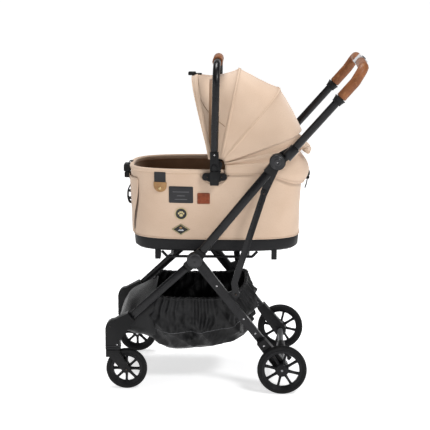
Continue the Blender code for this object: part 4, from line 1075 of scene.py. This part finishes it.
def basket_point(a, share, out=0.0):
    """A point of the basket's wall: share runs from its bottom edge, 0, to its hem, 1."""
    places = [(level[0] - BASKET[0][0]) / (BASKET[-1][0] - BASKET[0][0]) for level in BASKET]
    i = max(k for k in range(4) if share >= places[k] or not k)
    u = (share - places[i]) / (places[i + 1] - places[i])
    ends = [BASKET[max(0, i - 1)], BASKET[i], BASKET[i + 1], BASKET[min(4, i + 2)]]
    height, half_width, front, rear = (0.5 *
        (2 * q + (r - p) * u + (2 * p - 5 * q + 4 * r - s) * u * u + (3 * q - p - 3 * r + s)
        * u ** 3) if i else q + (r - q) * u for p, q, r, s in zip(*ends))
    height = BASKET[0][0] + share * (BASKET[-1][0] - BASKET[0][0])
    middle, half = (front + rear) / 2, (rear - front) / 2
    point = oval(a, half_width, half, middle, height, BASKET_PLAN)
    along = (point.y - middle) / half
    point.z += 0.026 * max(0.0, along) ** 2 * (1 - share) + 0.03 * share * along ** 4
    point.z = min(point.z, LEG_TIP.z + (point.y - LEG_TIP.y) * LEG_SLOPE - BASKET_UNDER_LEGS)
    normal = Vector((power(cos(a), 2 - BASKET_PLAN) / half_width,
        power(sin(a), 2 - BASKET_PLAN) / half, 0)).normalized()
    return point + normal * out


def ridge(value):
    """Turn smooth noise into sharp-crested folds between -1 and 1."""
    return 1 - 3.2 * abs(value)


def basket_cloth(index, a, share):
    """The same point with gathers under the hem and slack, crossing wrinkles below."""
    gather = smooth(share, 0.22, 0.85)
    phase = index * 0.42 + 4.2 * crease((index * 0.03, share * 0.5, 0), 1.0, 3.0) + 0.8 * share
    pleat = 1 - 2 * abs(sin(phase)) ** 0.75
    pleat *= 0.65 + 0.6 * crease((index * 0.11, share, 0), 1.0, 5.0)
    spot = basket_point(a, share)
    slant = 2.6 * share * copysign(1, spot.x)
    drape = ridge(crease((spot.x * 7, spot.y * 17 + slant, share * 0.9), 1.0, 7.0))
    fine = ridge(crease((spot.x * 16, spot.y * 30 - slant, share * 2.0), 1.0, 2.0))
    low = sin(pi * min(1.0, 0.08 + share * 1.05)) ** 0.8
    out = 0.0072 * gather * (pleat - 0.6) + low * (0.0125 * drape + 0.006 * fine - 0.012)
    sag = (1 - share) ** 2 * exp(-((spot.y + 0.2) / 0.06) ** 2)
    return basket_point(a, share, out) - Vector((0, 0, 0.009 * sag))


def storage_basket():
    """The hanging bag, its gathered hem over a wire, and the seam round its bottom."""
    floor = Vector((0, -0.125, 0.1015))
    rows = [[floor + Vector((0.001 * cos(a), 0.001 * sin(a), 0)) for a in BASKET_TURNS]]
    for size in (0.3, 0.6, 0.85):
        rows.append([rows[0][0].lerp(basket_cloth(i, a, 0.0), size)
            + Vector((0, 0, 0.002 * crease((a, size, 0), 3.0))) for i,
            a in enumerate(BASKET_TURNS)])
    rows += [[basket_cloth(i, a, k / 52) for i, a in enumerate(BASKET_TURNS)] for k in range(53)]
    bag = grid("basket_bag", rows, "basket", "main_frame", closed=True, slot="basket_cloth",
        replaces=("storage_basket",))
    face_away(bag, 0.75, Vector((0, -0.13, 0.2)))
    modify(bag, "SOLIDIFY", thickness=CLOTH_THICK, offset=-1.0)
    hem = [basket_cloth(i, a, 0.985) + Vector((0, 0, 0.001)) for i, a in enumerate(BASKET_TURNS)]
    hem = [p + Vector((0, 0, 0.0005 * sin(i * 1.9))) for i,
        p in enumerate(even(hem, 0.0042, closed=True))]
    sweep("basket_hem", hem, flat(0.003, 0.0115, 0.0012), "basket", "main_frame", closed=True,
        slot="basket_cloth")
    wire = even([basket_point(a, 0.99, -0.0062) for a in BASKET_TURNS], 0.008, closed=True)
    sweep("basket_wire", wire, ring(0.0021, 8), "frame", "main_frame", closed=True,
        slot="frame_black")
    seam = [basket_cloth(i, a, 0.37 + 0.15 * abs(sin(a)) ** 1.4 + 0.02
        * crease((a * 1.3, 0, 0), 1.0)) for i, a in enumerate(BASKET_TURNS)]
    sweep("basket_seam", even(seam, 0.005, closed=True), ring(0.0011, 6), "thread_grey",
        "main_frame", closed=True)


def basket_front():
    """A cloth front between the front legs, bulging ahead of them, with a stitched edge."""
    rows = []
    for k in range(25):
        s = k / 24
        row = []
        for c in range(41):
            x = BASKET_FRONT_HALF_WIDTH * (c / 20 - 1)
            side = abs(x) / BASKET_FRONT_HALF_WIDTH
            spot = LEG_TIP.lerp(HUB, -0.27 + 0.53 * s) + Vector((0, 0.005, -0.006))
            full = (1 - side ** 3) * max(0.0, sin(pi * min(1.0, 0.03 + 1.02 * s))) ** 0.75
            fold = 0.003 * ridge(crease((x * 9 + s * 1.4, s * 2.2, 0), 1.0, 5.0)) * full
            bulge = 0.033 * full + fold - 0.006 * s ** 6 * (1 - side ** 2)
            row.append(Vector((x, spot.y - 0.68 * bulge, spot.z + 0.73 * bulge)))
        rows.append(row)
    front = grid("basket_front", rows, "basket", "main_frame", slot="basket_cloth")
    modify(front, "SOLIDIFY", thickness=CLOTH_THICK, offset=0.0)
    sweep("basket_front_edge", rows[-1], ring(0.0022, 8), "webbing", "main_frame")
    row = [p + Vector((0, -0.0012, 0.0006)) for p in rows[-2]]
    stitches("basket_front_stitches", row, (0, -0.7, 0.7), "thread_grey", "main_frame")


def basket_chin():
    """The bag's lower front, which rises between the front legs to the cloth front's edge."""
    rows = []
    for k in range(31):
        s = k / 30
        y = -0.246 - 0.119 * s
        low = 0.124 + 0.052 * s ** 1.1
        top = max(low + 0.002, LEG_TIP.z + (y - LEG_TIP.y) * LEG_SLOPE - 0.012)
        wide = 0.146 + 0.019 * sin(pi * min(1.0, 0.15 + 0.6 * s))
        row = []
        for c in range(65):
            a = pi + pi * c / 64
            x, drop = wide * power(cos(a), 0.5), power(-sin(a), 0.5)
            fold = 0.0034 * ridge(crease((x * 8, y * 17 + 1.6 * drop, drop), 1.0, 6.0)) * drop
            row.append(Vector((x * (1 + fold * 3), y, top - (top - low) * drop - fold)))
        rows.append(row)
    chin = grid("basket_chin", rows, "basket", "main_frame", slot="basket_cloth")
    modify(chin, "SOLIDIFY", thickness=CLOTH_THICK, offset=0.0)


storage_basket()
basket_front()
basket_chin()


# ---------------------------------------------------------------- frame and mouldings
# look, slot, rounding, and the nodes; a name that ends in _ is a left and right pair
FINISHES = (("frame", "frame_black", 0.0012,
    "push_tube_ front_leg_ rear_leg_ fold_link_ handle_arm_"),
    ("plastic", "plastic_black", 0.0022, "hub_housing_ fold_housing_ caster_housing_ rear_foot_ "
    "bail_mount_ bail_knuckle_ caster_fork_"), ("steel", "steel", 0.0004, "front_axle_"),
    ("grip", "leather", 0.0016, "handle_grip_"),
    ("plastic", "plastic_black", 0.0008, "bail_button_"),
    ("frame", "frame_black", 0.0008, "front_cross_tube carrier_cradle handle_tube bail_tube"),
    ("brake", "steel", 0.0008, "rear_axle"), ("plastic", "plastic_black", 0.0015, "brake_pedal"),
    ("tray", "tray_grey", 0.0015, "base_tray"), ("grip", "leather", 0.0016, "bail_grip"),
    ("grey", "release_grey", 0.0014, "fold_release_housing"),
    ("plastic", "plastic_black", 0.0008, "fold_release_button"),
    ("frame", "frame_black", 0.0004, "canopy_bow_rear canopy_bow_middle canopy_bow_front"),)


def finish_frame():
    """The CAD's hard parts with rounded edges and their own finish."""
    for look, slot, bevel, names in FINISHES:
        for name in names.split():
            pair = [name + label for _, label in SIDES] if name.endswith("_") else [name]
            for node in pair:
                refine(node, look, bevel)


def screw(name, centre, side, body, radius=0.0032, look="steel", proud=0.0011):
    """A domed screw head facing sideways, its cross recess drawn as a thin dark cross of painted
    shade.
    """
    profile = [(0.0002, -0.0004), (radius, -0.0004), (radius, proud * 0.35),
        (radius * 0.8, proud * 0.85), (radius * 0.45, proud), (0.0002, proud)]
    lathe(f"{name}_head", profile, centre, look, body, 24, side=side)
    start = Vector(centre) + Vector((side * (proud + 0.0001), 0, 0))
    for turn in (0, 90):
        a = radians(turn + 20)
        one = Vector((0, cos(a), sin(a))) * (radius * 0.55)
        # two thin dark bars on the dome: painted shade for the cross recess
        sweep(f"{name}_slot_shade_{turn}", [start - one, start + one], flat(0.0007, 0.0003, 0.0001),
            "shade", body, (1, 0, 0))


def mount_plates():
    """Half-round plates under the carry handle, with screws and a stitched arc round each."""
    y, z = MOUNT_AT
    half_turn = (pi, 2 * pi)
    for side, label in SIDES:
        slab(f"mount_plate_{label}", arc(y, z, 0.0345, 0.027, *half_turn, 24),
            (side * 0.1478, side * 0.1646), "plastic", "carrier", 0.003, 4)
        for k, shift in enumerate((-0.0215, 0.0215)):
            screw(f"mount_screw_{label}_{k + 1}", (side * 0.1647, y + shift, z - 0.0085), side,
                "carrier", 0.0034, "frame", 0.0012)
        welt = on_side(arc(y, z, 0.0455, 0.0345, *half_turn, 60), side, 0.0032)
        sweep(f"mount_welt_{label}", welt, ring(0.0008, 6), "binding", "carrier", (side, 0, 0))
        row = on_side(arc(y, z, 0.0425, 0.032, *half_turn, 60), side, 0.003)
        stitches(f"mount_stitches_{label}", row, (side, 0, 0), "thread", "carrier")


def frame_details():
    """Screws and rivets, the caps on the pivots and the rings on the caster housings."""
    hub = [(0.0002, -0.001), (0.0226, -0.001), (0.0229, 0.0008), (0.0216, 0.0019),
        (0.02, 0.0019), (0.0192, 0.0009), (0.0182, 0.0009), (0.0172, 0.0018), (0.006, 0.0026),
        (0.0002, 0.0027)]
    boss = [(0.0002, -0.001), (0.0222, -0.001), (0.0222, 0.0012), (0.0212, 0.002),
        (0.02, 0.002), (0.0192, 0.0008), (0.0182, 0.0008), (0.0174, 0.0022), (0.014, 0.0028),
        (0.0132, 0.0016), (0.0122, 0.0016), (0.0114, 0.003), (0.004, 0.0034), (0.0036, 0.0018),
        (0.0002, 0.0018)]
    leg = [HUB.lerp(REAR_LEG_TIP, share).yz for share in (0.33, 0.74, 0.92)]
    foot = REAR_LEG_TIP.lerp(REAR_AXLE, 0.16).yz
    rear = [(f"leg_screw_{{}}_{k + 1}", "rear_legs", (0.1996, *spot), 0.0028) for k,
        spot in enumerate(leg)]
    rear.append(("foot_screw_{}", "rear_legs", (0.2201, *foot), 0.003))
    pins = [("fold_boss_pin_{}", "main_frame", (0.2268, *FOLD.yz), 0.0021),
        ("link_rivet_arm_{}", "fold_links", (0.2056, 0.085, 0.618), 0.0046, "frame", 0.0016),
        ("link_rivet_leg_{}", "fold_links", (0.2056, 0.002, 0.304), 0.0046, "frame", 0.0016)]
    front = [("caster_screw_{}", "main_frame", (0.2141, -0.363, 0.144), 0.0024),
        ("caster_leg_screw_{}", "main_frame", (0.2141, -0.384, 0.202), 0.0022, "frame"),
        ("knuckle_screw_{}", "carry_handle", (0.1801, BAIL_PIVOT.y, 0.73), 0.0024)]

    def drive_in(screws):
        for name, body, (x, y, z), *finish in screws:
            screw(name.format(label), (side * x, y, z), side, body, *finish)

    for side, label in SIDES:
        drive_in(rear)
        # The caps and the rings are drawn in the lighter edge moulding: painted highlight, so that
        # their rings show.
        lathe(f"hub_cap_{label}", hub, (side * PIVOT_CAP_X, *HUB.yz), "edge", "main_frame", 72,
            side=side)
        lathe(f"fold_boss_{label}", boss, (side * PIVOT_CAP_X, *FOLD.yz), "edge", "main_frame", 80,
            side=side)
        drive_in(pins)
        for k, z in enumerate((0.1385, 0.1315)):
            outline = [(side * x, y, z) for x, y in rounded(*CASTER_BOX, 0.006)]
            sweep(f"caster_ring_{label}_{k + 1}", even(outline, 0.003, closed=True),
                ring(0.0014, 6), "edge", "main_frame", closed=True)
        drive_in(front)


def tyre_profile(radius, half_width):
    """A tyre's section: a crowned tread with shallow grooves and a bead on each side."""
    crown = []
    for k in range(17):
        t = -1 + k / 8
        drop = 0.003 * abs(t) ** 3.2
        groove = 0.0007 if 0.3 < abs(t) < 0.44 else 0.0
        crown.append((radius - drop - groove, half_width * 0.94 * t))
    inner = radius - TYRE_DEPTH
    side = [(radius - TYRE_DEPTH * share, half_width * wide) for share,
        wide in ((0.45, 1.0), (0.55, 0.93), (0.62, 0.99))]
    side.append((inner + 0.001, half_width * 0.9))
    return ([(inner, -half_width * 0.8)] + [(r, -x) for r, x in side[::-1]] + crown + side
        + [(inner, half_width * 0.8)])


def wheel(where, label, side, radius, centre, turn):
    """A rubber tyre on a moulded wheel with eight ribbed spokes, a hub and a cap."""
    body = f"{where}_wheel_{label}"
    lathe(f"{where}_tyre_{label}_rubber", tyre_profile(radius, WHEEL_WIDTH / 2 - 0.0002), centre,
        "tyre", body, 112, slot="tyre_black", replaces=(f"{where}_tyre_{label}",))
    outer = radius - TYRE_DEPTH + 0.0001
    rim = [(outer, 0.0092), (outer - 0.0012, 0.0104), (outer - 0.0024, 0.01),
        (outer - 0.0034, 0.0088), (outer - 0.0094, 0.0084), (outer - 0.0104, 0.007),
        (outer - 0.0108, 0.0)]
    rim += [(r, -x) for r, x in rim[-2::-1]]
    lathe(f"{where}_rim_{label}_ring", rim, centre, "wheel", body, 112, slot="wheel_black",
        replaces=(f"{where}_rim_{label}",))
    thick = 0.02 if where == "rear" else 0.013
    hub = [(0.0042, -0.0112), (thick * 0.78, -0.0112), (thick, -0.009), (thick * 1.06, 0.0),
        (thick, 0.009), (thick * 0.78, 0.0112), (0.0042, 0.0112)]
    lathe(f"{where}_hub_{label}", hub, centre, "wheel", body, 56)
    start, end = thick * 0.92, outer - 0.009
    section = [(0.0032, -0.0055), (0.004, 0.0), (0.0032, 0.0055), (0.0015, 0.0066)]
    section += [(-u, v) for u, v in section[::-1]] + [(-0.0015, -0.0066), (0.0015, -0.0066)]
    for k in range(8):
        a = radians(turn + 45 * k)
        out = Vector((0, cos(a), sin(a)))
        path = [Vector(centre) + out * (start + (end - start) * s / 6) for s in range(7)]
        sweep(f"{where}_spoke_{label}_{k + 1}", path, section, "wheel", body, (1, 0, 0),
            sizes=[1.22, 1.08, 1.0, 0.96, 0.98, 1.06, 1.24])
    if where == "rear":
        cap = [(0.0002, 0.01), (0.013, 0.01), (0.013, 0.0116), (0.0118, 0.0124),
            (0.0108, 0.0119), (0.01, 0.0119), (0.009, 0.0127), (0.0002, 0.0129)]
        lathe(f"rear_cap_{label}", cap, centre, "plastic", body, 48, side=side)


def wheels():
    for side, label in SIDES:
        wheel("rear", label, side, REAR_WHEEL_R, (side * REAR_TRACK, *REAR_AXLE.yz), 32)
        wheel("front", label, side, FRONT_WHEEL_R, (side * FRONT_TRACK, *FRONT_AXLE.yz), -1)
        screw(f"front_bolt_{label}", (side * (FRONT_TRACK + 0.0192), *FRONT_AXLE.yz), side,
            f"caster_{label}", 0.0046, "frame", 0.0018)


def handle_details():
    """Seam stitching along the leather grips, and the flared collars below them."""
    along = (HANDLE_KNEE - HANDLE_START).normalized()
    under = Vector((0, along.z, -along.y))
    inner = HANDLE_TUBE_R + 0.0003
    cone = [(inner, 0.0), (0.0146, 0.0), (0.0152, 0.0007), (0.0152, 0.0024), (0.0146, 0.0032),
        (0.0176, 0.0168), (0.0187, 0.0174), (0.019, 0.0184), (0.0187, 0.0196), (0.0176, 0.02),
        (inner, 0.02)]
    collar_start, seam_start = (HANDLE_START + along * ((y - HANDLE_START.y) / along.y)
        for y in (0.2965, 0.3135))
    for side, label in SIDES:
        base = Vector((side * GRIP_X, 0, 0))
        path = [base + seam_start.lerp(HANDLE_KNEE, k / 20 * 0.95) + under * GRIP_R
            for k in range(21)]
        stitches(f"grip_stitches_{label}", path, under, "thread", "push_handle", 0.004, 0.0026,
            slant=0.5)
        lathe(f"handle_cone_{label}", cone, base + collar_start, "plastic", "push_handle", 56,
            axis=along, slot="plastic_black", replaces=(f"handle_collar_{label}",))
    row = [Vector((x / 1000, *BAIL_GRIP_SEAM)) for x in range(-58, 59, 4)]
    stitches("bail_grip_stitches", row, (0, 1, 0), "thread", "carry_handle", 0.004, 0.0026,
        slant=0.5)


finish_frame()
mount_plates()
frame_details()
wheels()
handle_details()


# ---------------------------------------------------------------- floor and light
FLOOR_GLOW = (0.64, 0.87)               # near the object, and far away
SKY = (0.92, 0.14)                      # at the horizon, and overhead
LAMPS = (("key", (2.1, 1.8, 3.0), 0.9, 66), ("fill", (3.2, -2.6, 1.6), 1.6, 10),
    ("top", (-0.6, -0.2, 3.4), 1.4, 66))


def fade(nodes, links, value, low, high, levels, target):
    """Drive a socket from one level to another as a value rises from low to high."""
    span = nodes.new("ShaderNodeMapRange")
    span.interpolation_type = "SMOOTHSTEP"
    for key, number in zip(("From Min", "From Max", "To Min", "To Max"), (low, high, *levels)):
        span.inputs[key].default_value = number
    links.new(value, span.inputs["Value"])
    links.new(span.outputs["Result"], target)


def floor_and_light():
    """A pale floor that brightens with distance, a sky that fades, and three soft lamps."""
    look = Look("floor", (0.86, 0.86, 0.87), 0.9, Emission_Color=(1, 1, 1, 1))
    look.bump(look.noise(2.0), 0.2 * MM, 0.05)
    M["floor"] = look.mat
    far = look.node("VectorMath", "Value", {0: look.place}, operation="LENGTH")
    fade(look.nodes, look.links, far, 0.9, 3.2, FLOOR_GLOW, look.shader.inputs["Emission Strength"])
    grid("floor", [[Vector((x, y, 0)) for x in (-40, -4, 4, 40)]
        for y in (-40, -4, 4, 40)], "floor", None)
    world = bpy.data.worlds.new("studio")
    world.use_nodes = True
    nodes, links = world.node_tree.nodes, world.node_tree.links
    spot, height = nodes.new("ShaderNodeTexCoord"), nodes.new("ShaderNodeSeparateXYZ")
    links.new(spot.outputs["Generated"], height.inputs[0])
    nodes["Background"].inputs["Color"].default_value = (1, 1, 1, 1)
    fade(nodes, links, height.outputs["Z"], 0.02, 0.4, SKY, nodes["Background"].inputs["Strength"])
    bpy.context.scene.world = world
    bpy.context.scene.view_settings.view_transform = "Standard"
    for name, place, size, power_watts in LAMPS:
        lamp = bpy.data.lights.new(name, "AREA")
        lamp.shape, lamp.size, lamp.energy = "DISK", size, power_watts
        holder = bpy.data.objects.new(name, lamp)
        holder.location = place
        aim = Vector((0, 0, 0.5)) - Vector(place)
        holder.rotation_euler = aim.to_track_quat("-Z", "Y").to_euler()
        bpy.context.scene.collection.objects.link(holder)


floor_and_light()
